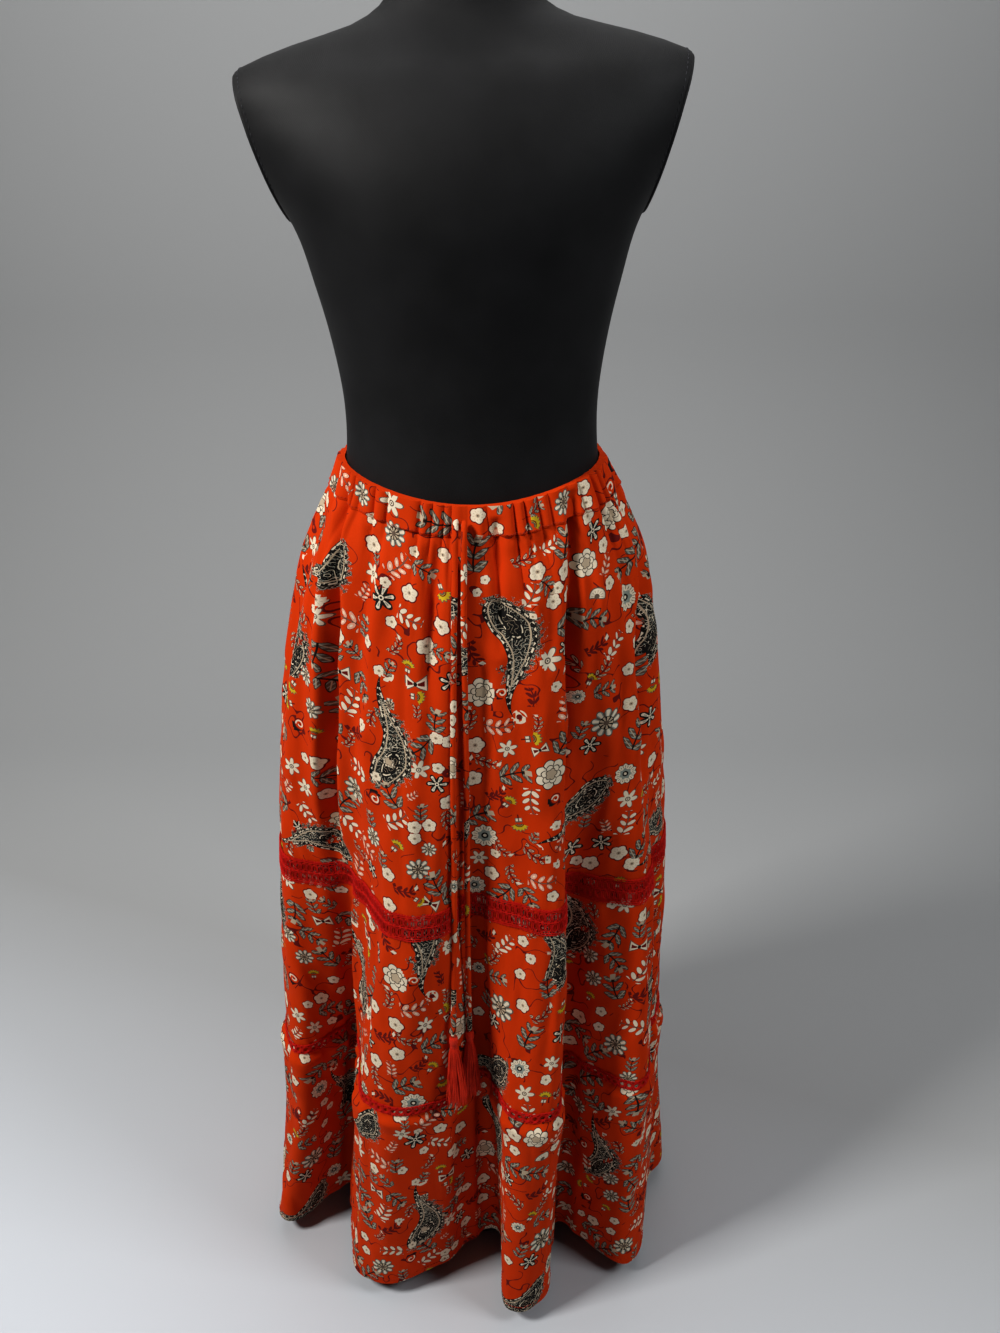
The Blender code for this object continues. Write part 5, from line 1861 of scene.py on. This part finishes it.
@dataclass
class Stand:
    """The plain steel pole and base, whose solids stay and get their paint."""

    nodes: tuple[str, ...] = ("stand_pole", "stand_base")

    def build(self, finishes: Finishes) -> None:
        """Paints the solids."""
        for name in self.nodes:
            solid = bpy.data.objects[name]
            for slot in solid.material_slots:
                slot.material = finishes.stand


@dataclass
class Tie:
    """A rouleau tie of the skirt's own cloth that hangs from the casing and ends in a tassel."""

    name: str
    route: tuple[tuple[float, float, float], ...]
    tassel_lean: tuple[float, float]
    seed: int
    diameter: float = 0.0058
    step: float = 0.0035
    sides: int = 20
    tassel_length: float = 0.080
    tassel_gap: float = 0.0006
    strands: int = 130
    strand_radius: float = 0.00042
    foot_radius: float = 0.0115

    def line(self) -> np.ndarray:
        """Points of the tie's centre line."""
        return resampled(np.array(self.route), self.step)

    def cloth(self, finishes: Finishes) -> bpy.types.Object:
        """The tie's tube, lightly uneven, with its seam rolled to the back."""
        line = self.line()
        along = np.concatenate(([0.0], np.linalg.norm(np.diff(line, axis=0), axis=1).cumsum()))
        radii = self.diameter / 2 * (0.955 + 0.045 * np.sin(along * 210.0 + self.seed) * np.sin(along * 83.0))
        radii[0] *= 0.8
        radii[-1] *= 0.72
        points, faces = tube(line, radii, self.sides)
        mesh = mesh_from(self.name + "_cloth", points, faces)
        girth = math.pi * self.diameter
        loops = np.zeros(len(mesh.loops), int)
        mesh.loops.foreach_get("vertex_index", loops)
        ring, side = loops // self.sides, (loops % self.sides).astype(float)
        quads = (len(line) - 1) * self.sides * 4
        first = side[:quads].reshape(-1, 4)
        wrapped = (first.max(axis=1) - first.min(axis=1)) > 1.5
        first[wrapped] = np.where(first[wrapped] < 1.5, first[wrapped] + self.sides, first[wrapped])
        across = np.concatenate((first.ravel(), side[quads:])) / self.sides * girth
        flat = np.column_stack((across + 0.031 * self.seed, along[ring] + 0.083 * self.seed))
        mesh.uv_layers.new(name="cloth").data.foreach_set("uv", flat.ravel())
        corners = flat[:quads].reshape(-1, 4, 2)
        placed = REPEAT.on_corners(corners.mean(axis=1), corners).reshape(-1, 3)
        motif = np.concatenate((placed, np.tile((9.0, 9.0, -3.0), (len(loops) - quads, 1))))
        mesh.attributes.new("motif", "FLOAT_VECTOR", "CORNER").data.foreach_set("vector", motif.ravel())
        return dressed(linked(mesh.name, mesh, finishes.cloth), "printed_cloth", self.name)

    def tassel(self, finishes: Finishes) -> bpy.types.Object:
        """The tassel: a wound head and a skirt of thread strands."""
        draw = np.random.default_rng(self.seed)
        top = np.array(self.route[-1]) - (0, 0, self.tassel_gap)
        lean = np.array((*self.tassel_lean, 0.0))
        parts = []
        profile = ((0.0030, 0.0), (0.0044, 0.0016), (0.0048, 0.0045), (0.0047, 0.0075), (0.0036, 0.0098))
        for k in range(15):
            height = 0.0006 + 0.00064 * k
            radius = np.interp(height, [p[1] for p in profile], [p[0] for p in profile]) - 0.0004
            turns = np.linspace(0, 2 * math.pi, 19)[:-1]
            ring = np.column_stack((radius * np.cos(turns), radius * np.sin(turns), -height + 0.0002 * np.sin(turns)))
            parts.append(tube(top + ring, 0.00046, 5, closed=True))
        for k in range(5):
            turns = np.linspace(0, 2 * math.pi, 19)[:-1]
            ring = np.column_stack((0.0034 * np.cos(turns), 0.0034 * np.sin(turns), np.full(18, -0.0102 - 0.0007 * k)))
            parts.append(tube(top + ring, 0.00050, 5, closed=True))
        core = np.array([top + (0, 0, -d) for d in (0.0004, 0.003, 0.007, 0.0100, 0.0128, 0.0150)])
        parts.append(tube(core, np.array((0.0022, 0.0036, 0.0038, 0.0030, 0.0028, 0.0030)), 12))
        for k in range(self.strands):
            turn = k * 2.399963
            share = math.sqrt((k + 0.5) / self.strands)
            length = self.tassel_length - 0.0130 - draw.uniform(0.0, 0.0075)
            way = np.array((math.cos(turn), math.sin(turn), 0.0))
            sway = np.array((draw.normal(0, 0.0009), draw.normal(0, 0.0009), 0.0))
            line = []
            for u in np.linspace(0, 1, 8):
                spread = 0.0030 * share + (self.foot_radius - 0.0030) * share * (1 - (1 - u) ** 1.7) * (0.8 + 0.2 * u)
                bulge = 0.0009 * math.sin(math.pi * min(u * 3.2, 1.0)) * share
                wave = sway * math.sin(5.2 * u + k) * u
                line.append(top + way * (spread + bulge) + lean * u + wave + (0, 0, -0.0128 - length * u))
            radii = self.strand_radius * np.array((1.0, 1.05, 1.05, 1.0, 1.0, 0.95, 0.9, 0.55))
            parts.append(tube(np.array(line), radii, 4))
        points, faces = joined(parts)
        mesh = mesh_from(self.name.replace("tie", "tassel") + "_threads", points, faces)
        return dressed(linked(mesh.name, mesh, finishes.tassel), "tassel_thread", self.name.replace("tie", "tassel"))

    def build(self, finishes: Finishes) -> None:
        """Makes the tie and its tassel."""
        cloth = self.cloth(finishes)
        tassel = self.tassel(finishes)
        line = self.line()


@dataclass
class LaceBand:
    """A crochet trim: a flat unit repeated along the seam, then laid on the cloth's folds."""

    name: str
    drop: float
    half_height: float
    pitch: float
    outset: float

    def unit(self) -> bpy.types.Mesh:
        """The flat unit: as wide as the pitch, its middle at the origin."""
        raise NotImplementedError

    def strand(
        self, line: Sequence[tuple[float, float]], radius: float, lift: float, closed: bool = False
    ) -> tuple[np.ndarray, list]:
        """One thread of the unit through flat places, in shares of the pitch and the half height."""
        flat = np.array([(x * self.pitch, y * self.half_height, lift) for x, y in line])
        points, faces = tube(flat, radius, 5, closed)
        return points, faces

    def build(self, finishes: Finishes, tree: RepeatTree, start: float, side: str, cut: float) -> None:
        """Repeats the unit along one half of the skirt and lays it on the cloth.

        Args:
            finishes: The materials.
            tree: The repeats' tree.
            start: Turn of the half's start.
            side: front or back.
            cut: Length of trim that was cut for it, in metres; not used.
        """
        turns = start + np.linspace(0.0006, 0.4994, 3000)
        row = CLOTH.row(self.drop, turns, self.outset)
        along = np.concatenate(([0.0], np.linalg.norm(np.diff(row, axis=0), axis=1).cumsum()))
        count = int(round(along[-1] / self.pitch))
        pitch = along[-1] / count
        middles = (np.arange(count) + 0.5) * pitch
        draw = np.random.default_rng(int(self.drop * 1000) + int(start * 10))
        places = np.column_stack((middles, draw.normal(0, 0.0003, count), np.zeros(count)))
        ups = np.tile((0.0, 0.0, 1.0), (count, 1))
        ways = np.column_stack((np.ones(count), draw.normal(0, 0.02, count), np.zeros(count)))
        mesh = tree.lay(f"{self.name}_{side}_threads", self.unit(), finishes.lace, places, ups, ways, np.ones(count))
        flat = np.zeros(len(mesh.vertices) * 3)
        mesh.vertices.foreach_get("co", flat)
        flat = flat.reshape(-1, 3)
        wanted = np.interp(np.clip(flat[:, 0], 0, along[-1]), along, turns)
        reach = self.half_height * 1.06
        drops = np.clip(self.drop - flat[:, 1], self.drop - reach, self.drop + reach)
        laid = np.zeros_like(flat)
        levels = np.linspace(drops.min(), drops.max(), 25)
        nearest = np.clip(((drops - levels[0]) / (levels[1] - levels[0])).astype(int), 0, 23)
        for level in range(24):
            chosen = nearest == level
            if not chosen.any():
                continue
            share = ((drops[chosen] - levels[level]) / (levels[level + 1] - levels[level]))[:, None]
            near = CLOTH.row(levels[level], wanted[chosen], self.outset)
            far = CLOTH.row(levels[level + 1], wanted[chosen], self.outset)
            step = 2e-4
            way = CLOTH.plan(levels[level], wanted[chosen] + step) - CLOTH.plan(levels[level], wanted[chosen] - step)
            way /= np.linalg.norm(way, axis=1)[:, None]
            out = np.column_stack((way[:, 1], -way[:, 0], np.zeros(len(way))))
            laid[chosen] = near + (far - near) * share + out * flat[chosen, 2:3]
        mesh.vertices.foreach_set("co", laid.ravel())
        mesh.shade_smooth()
        mesh.update()
        obj = linked(mesh.name, mesh)
        dressed(obj, "lace_red", f"{self.name}_{side}")


@dataclass
class WideLace(LaceBand):
    """The wide crochet band: two edge cords, leaf-shaped links in a net, and small scallops."""

    def unit(self) -> bpy.types.Mesh:
        """The flat unit of the wide band."""
        parts = []
        cord = 0.00052
        for y, lift in ((0.93, 0.0006), (0.80, 0.0006), (-0.80, 0.0006), (-0.93, 0.0006)):
            wave = [(x, y + 0.022 * math.sin(4 * math.pi * x)) for x in np.linspace(-0.5, 0.5, 9)]
            parts.append(self.strand(wave, cord, lift))
        for middle in (-0.25, 0.25):
            for level in (-0.38, 0.38):
                turns = np.linspace(0, 2 * math.pi, 13)[:-1]
                leaf = [(middle + 0.19 * math.cos(t), level + 0.30 * math.sin(t)) for t in turns]
                parts.append(self.strand(leaf, cord, 0.0007, True))
                parts.append(self.strand([(middle, level - 0.26), (middle, level + 0.26)], cord * 0.9, 0.0005))
        for x in (-0.5, 0.0):
            for sign in (-1, 1):
                bar = [(x, 0.80), (x + 0.05, 0.42), (x, 0.0), (x - 0.05, -0.42), (x, -0.80)]
                parts.append(self.strand([(x + sign * (px - x), py) for px, py in bar], cord, 0.0004))
        ties = [(x, 0.03 * math.sin(8 * math.pi * x)) for x in np.linspace(-0.5, 0.5, 9)]
        parts.append(self.strand(ties, cord * 1.15, 0.0008))
        for y in (0.93, -0.93):
            for k in range(4):
                middle = -0.375 + 0.25 * k
                sign = 1 if y > 0 else -1
                picot = [(middle - 0.09, y), (middle, y + 0.10 * sign), (middle + 0.09, y)]
                parts.append(self.strand(picot, cord * 0.8, 0.0005))
        points, faces = joined(parts)
        return mesh_from(self.name + "_unit", points, faces)


@dataclass
class NarrowLace(LaceBand):
    """The narrow trim: a chain of oval links between two edge cords."""

    def unit(self) -> bpy.types.Mesh:
        """The flat unit of the narrow trim."""
        parts = []
        cord = 0.00060
        turns = np.linspace(0, 2 * math.pi, 17)[:-1]
        for radius, lift in ((0.46, 0.0007), (0.34, 0.0004)):
            link = [(radius * math.cos(t), 1.35 * radius * math.sin(t)) for t in turns]
            parts.append(self.strand(link, cord, lift, True))
        for y in (0.82, -0.82):
            wave = [(x, y + 0.06 * math.cos(4 * math.pi * x)) for x in np.linspace(-0.5, 0.5, 9)]
            parts.append(self.strand(wave, cord, 0.0005))
        for x in (-0.5, 0.5):
            parts.append(self.strand([(x, -0.80), (x * 0.96, 0.0), (x, 0.80)], cord * 0.9, 0.0006))
        points, faces = joined(parts)
        return mesh_from(self.name + "_unit", points, faces)


@dataclass
class Stitching:
    """Rows of small stitches on the skirt: round the casing's seam and above the hem."""

    casing_drop: float = 0.0262
    hem_drop: float = 0.9355
    pitch: float = 0.0036

    def row(self, drop: float, outset: float) -> tuple[np.ndarray, np.ndarray, np.ndarray]:
        """Places, tops and directions of one row of stitches."""
        turns = np.linspace(0, 1, 9001)[:-1]
        line = CLOTH.row(drop, turns, outset)
        along = np.concatenate(([0.0], np.linalg.norm(np.diff(line, axis=0), axis=1).cumsum()))
        marks = np.arange(0, along[-1], self.pitch)
        at = np.interp(marks, along, turns)
        points = CLOTH.row(drop, at, outset)
        ways = CLOTH.row(drop, at + 3e-4, outset) - CLOTH.row(drop, at - 3e-4, outset)
        lower = CLOTH.row(drop + 0.001, at, outset) - CLOTH.row(drop - 0.001, at, outset)
        return points, np.cross(lower, ways), ways

    def build(self, finishes: Finishes, tree: RepeatTree) -> None:
        """Makes both rows as pieces."""
        rows = (("casing_stitches", self.casing_drop, 0.0), ("hem_stitches", self.hem_drop, 0.0))
        for name, drop, outset in rows:
            points, ups, ways = self.row(drop, outset)
            unit = stitch_unit(0.0026, 0.00030)
            mesh = tree.lay(name, unit, finishes.stitch, points, ups, ways, np.ones(len(points)))
            dressed(linked(name, mesh), "printed_cloth")


@dataclass
class Studio:
    """Camera, floor, wall and soft light."""

    tilt: float = 24.6
    place: tuple[float, float, float] = (0.026, -0.947, 1.177)
    frame_height: float = 24.0

    def camera(self) -> None:
        """Sets up the camera at the photograph's angle."""
        data = bpy.data.cameras.new("camera")
        data.sensor_fit = "VERTICAL"
        data.sensor_height = self.frame_height
        data.lens = self.frame_height * 1000 / 1333
        camera = bpy.data.objects.new("camera", data)
        camera.location = self.place
        camera.rotation_euler = (math.radians(90 - self.tilt), 0.0, 0.0)
        bpy.context.scene.collection.objects.link(camera)
        bpy.context.scene.camera = camera

    def floor(self, finishes: Finishes) -> None:
        """Makes the floor, curved up into the wall behind."""
        profile = [(-4.0, 0.0), (1.15, 0.0)]
        for k in range(1, 17):
            turn = math.pi / 2 * k / 16
            profile.append((1.15 + 0.9 * math.sin(turn), 0.9 * (1 - math.cos(turn))))
        profile.append((2.05, 4.5))
        points = [(x, y, z) for y, z in profile for x in (-5.0, 5.0)]
        faces = [(2 * k, 2 * k + 1, 2 * k + 3, 2 * k + 2) for k in range(len(profile) - 1)]
        linked("pale_floor", mesh_from("pale_floor", np.array(points), faces), finishes.floor)

    def light(
        self, name: str, place: Sequence[float], aim: Sequence[float], size: float, watts: float, tint: Colour
    ) -> None:
        """Adds a soft area light.

        Args:
            name: Its name.
            place: Where it hangs.
            aim: What it points at.
            size: Side of its square in metres.
            watts: Its power.
            tint: Its colour.
        """
        data = bpy.data.lights.new(name, "AREA")
        data.size = size
        data.energy = watts
        data.color = tint
        lamp = bpy.data.objects.new(name, data)
        lamp.location = place
        lamp.rotation_euler = (Vector(aim) - Vector(place)).to_track_quat("-Z", "Y").to_euler()
        bpy.context.scene.collection.objects.link(lamp)

    def lights(self) -> None:
        """Adds the soft key from the left, the fill, the wall's light, the room and the view's contrast."""
        self.light("key", (-1.55, -0.80, 2.35), (0.0, 0.0, 0.75), 0.50, 56.0, (1.0, 0.985, 0.96))
        self.light("fill", (1.60, -0.75, 2.20), (0.0, 0.0, 0.75), 0.70, 22.0, (0.97, 0.985, 1.0))
        self.light("wall", (0.0, 0.9, 3.2), (0.0, 2.0, 1.0), 2.4, 33.0, (1.0, 1.0, 1.0))
        world = bpy.data.worlds.new("room")
        world.use_nodes = True
        world.node_tree.nodes["Background"].inputs["Color"].default_value = (0.62, 0.64, 0.68, 1.0)
        world.node_tree.nodes["Background"].inputs["Strength"].default_value = 0.04
        bpy.context.scene.world = world
        bpy.context.scene.view_settings.view_transform = "Standard"
        bpy.context.scene.view_settings.look = "Medium High Contrast"


SEAM_GAP = 0.00015
CASING_GAP = 0.0003
UPPER_TIER = (CASING_DROP + CASING_GAP, UPPER_SEAM_DROP - SEAM_GAP)
MIDDLE_TIER = (UPPER_SEAM_DROP + SEAM_GAP, LOWER_SEAM_DROP - SEAM_GAP)
LOWER_TIER = (LOWER_SEAM_DROP + SEAM_GAP, HEM_DROP)
UPPER_CUT = (0.72, 0.40)
MIDDLE_CUT = (0.90, 0.235)
LOWER_CUT = (1.15, 0.29)
PANELS = (
    TierPanel("upper_tier_front_cloth", 0.0, *UPPER_TIER, 276, 150, (0.0, 0.0), UPPER_CUT, "gathered"),
    TierPanel("upper_tier_back_cloth", 0.5, *UPPER_TIER, 200, 110, (0.20, 0.0), UPPER_CUT, "gathered"),
    TierPanel("middle_tier_front_cloth", 0.0, *MIDDLE_TIER, 344, 88, (0.11, 0.10), MIDDLE_CUT, "hung"),
    TierPanel("middle_tier_back_cloth", 0.5, *MIDDLE_TIER, 250, 66, (0.30, 0.20), MIDDLE_CUT, "hung"),
    TierPanel("lower_tier_front_cloth", 0.0, *LOWER_TIER, 420, 108, (0.02, -0.20), LOWER_CUT, "gathered"),
    TierPanel("lower_tier_back_cloth", 0.5, *LOWER_TIER, 300, 80, (0.26, 0.07), LOWER_CUT, "gathered"),
)


TIES = (
    Tie("tie_left", LEFT_TIE_ROUTE, (0.0035, -0.0120), 3),
    Tie("tie_right", RIGHT_TIE_ROUTE, (0.0012, -0.0075), 8),
)
WIDE_LACE = WideLace("wide_lace", UPPER_SEAM_DROP, 0.015, 0.0125, 0.0004)
NARROW_LACE = NarrowLace("narrow_lace", LOWER_SEAM_DROP, 0.0065, 0.0080, 0.0004)


def main() -> None:
    """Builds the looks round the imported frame, in order."""
    logging.basicConfig(level=logging.INFO, format="%(name)s %(message)s")
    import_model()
    studio = Studio()
    studio.camera()
    finishes = Finishes()
    for tie in TIES:
        tie.build(finishes)
    studio.floor(finishes)
    studio.lights()
    tree = RepeatTree("repeats")
    DressForm().build(finishes, tree)
    Stand().build(finishes)
    Waistband().build(finishes)
    for panel in PANELS:
        panel.build(finishes)
    for start, side in ((0.0, "front"), (0.5, "back")):
        WIDE_LACE.build(finishes, tree, start, side, 0.75)
        NARROW_LACE.build(finishes, tree, start, side, 0.95)
    Stitching().build(finishes, tree)


if __name__ == "__main__":
    main()
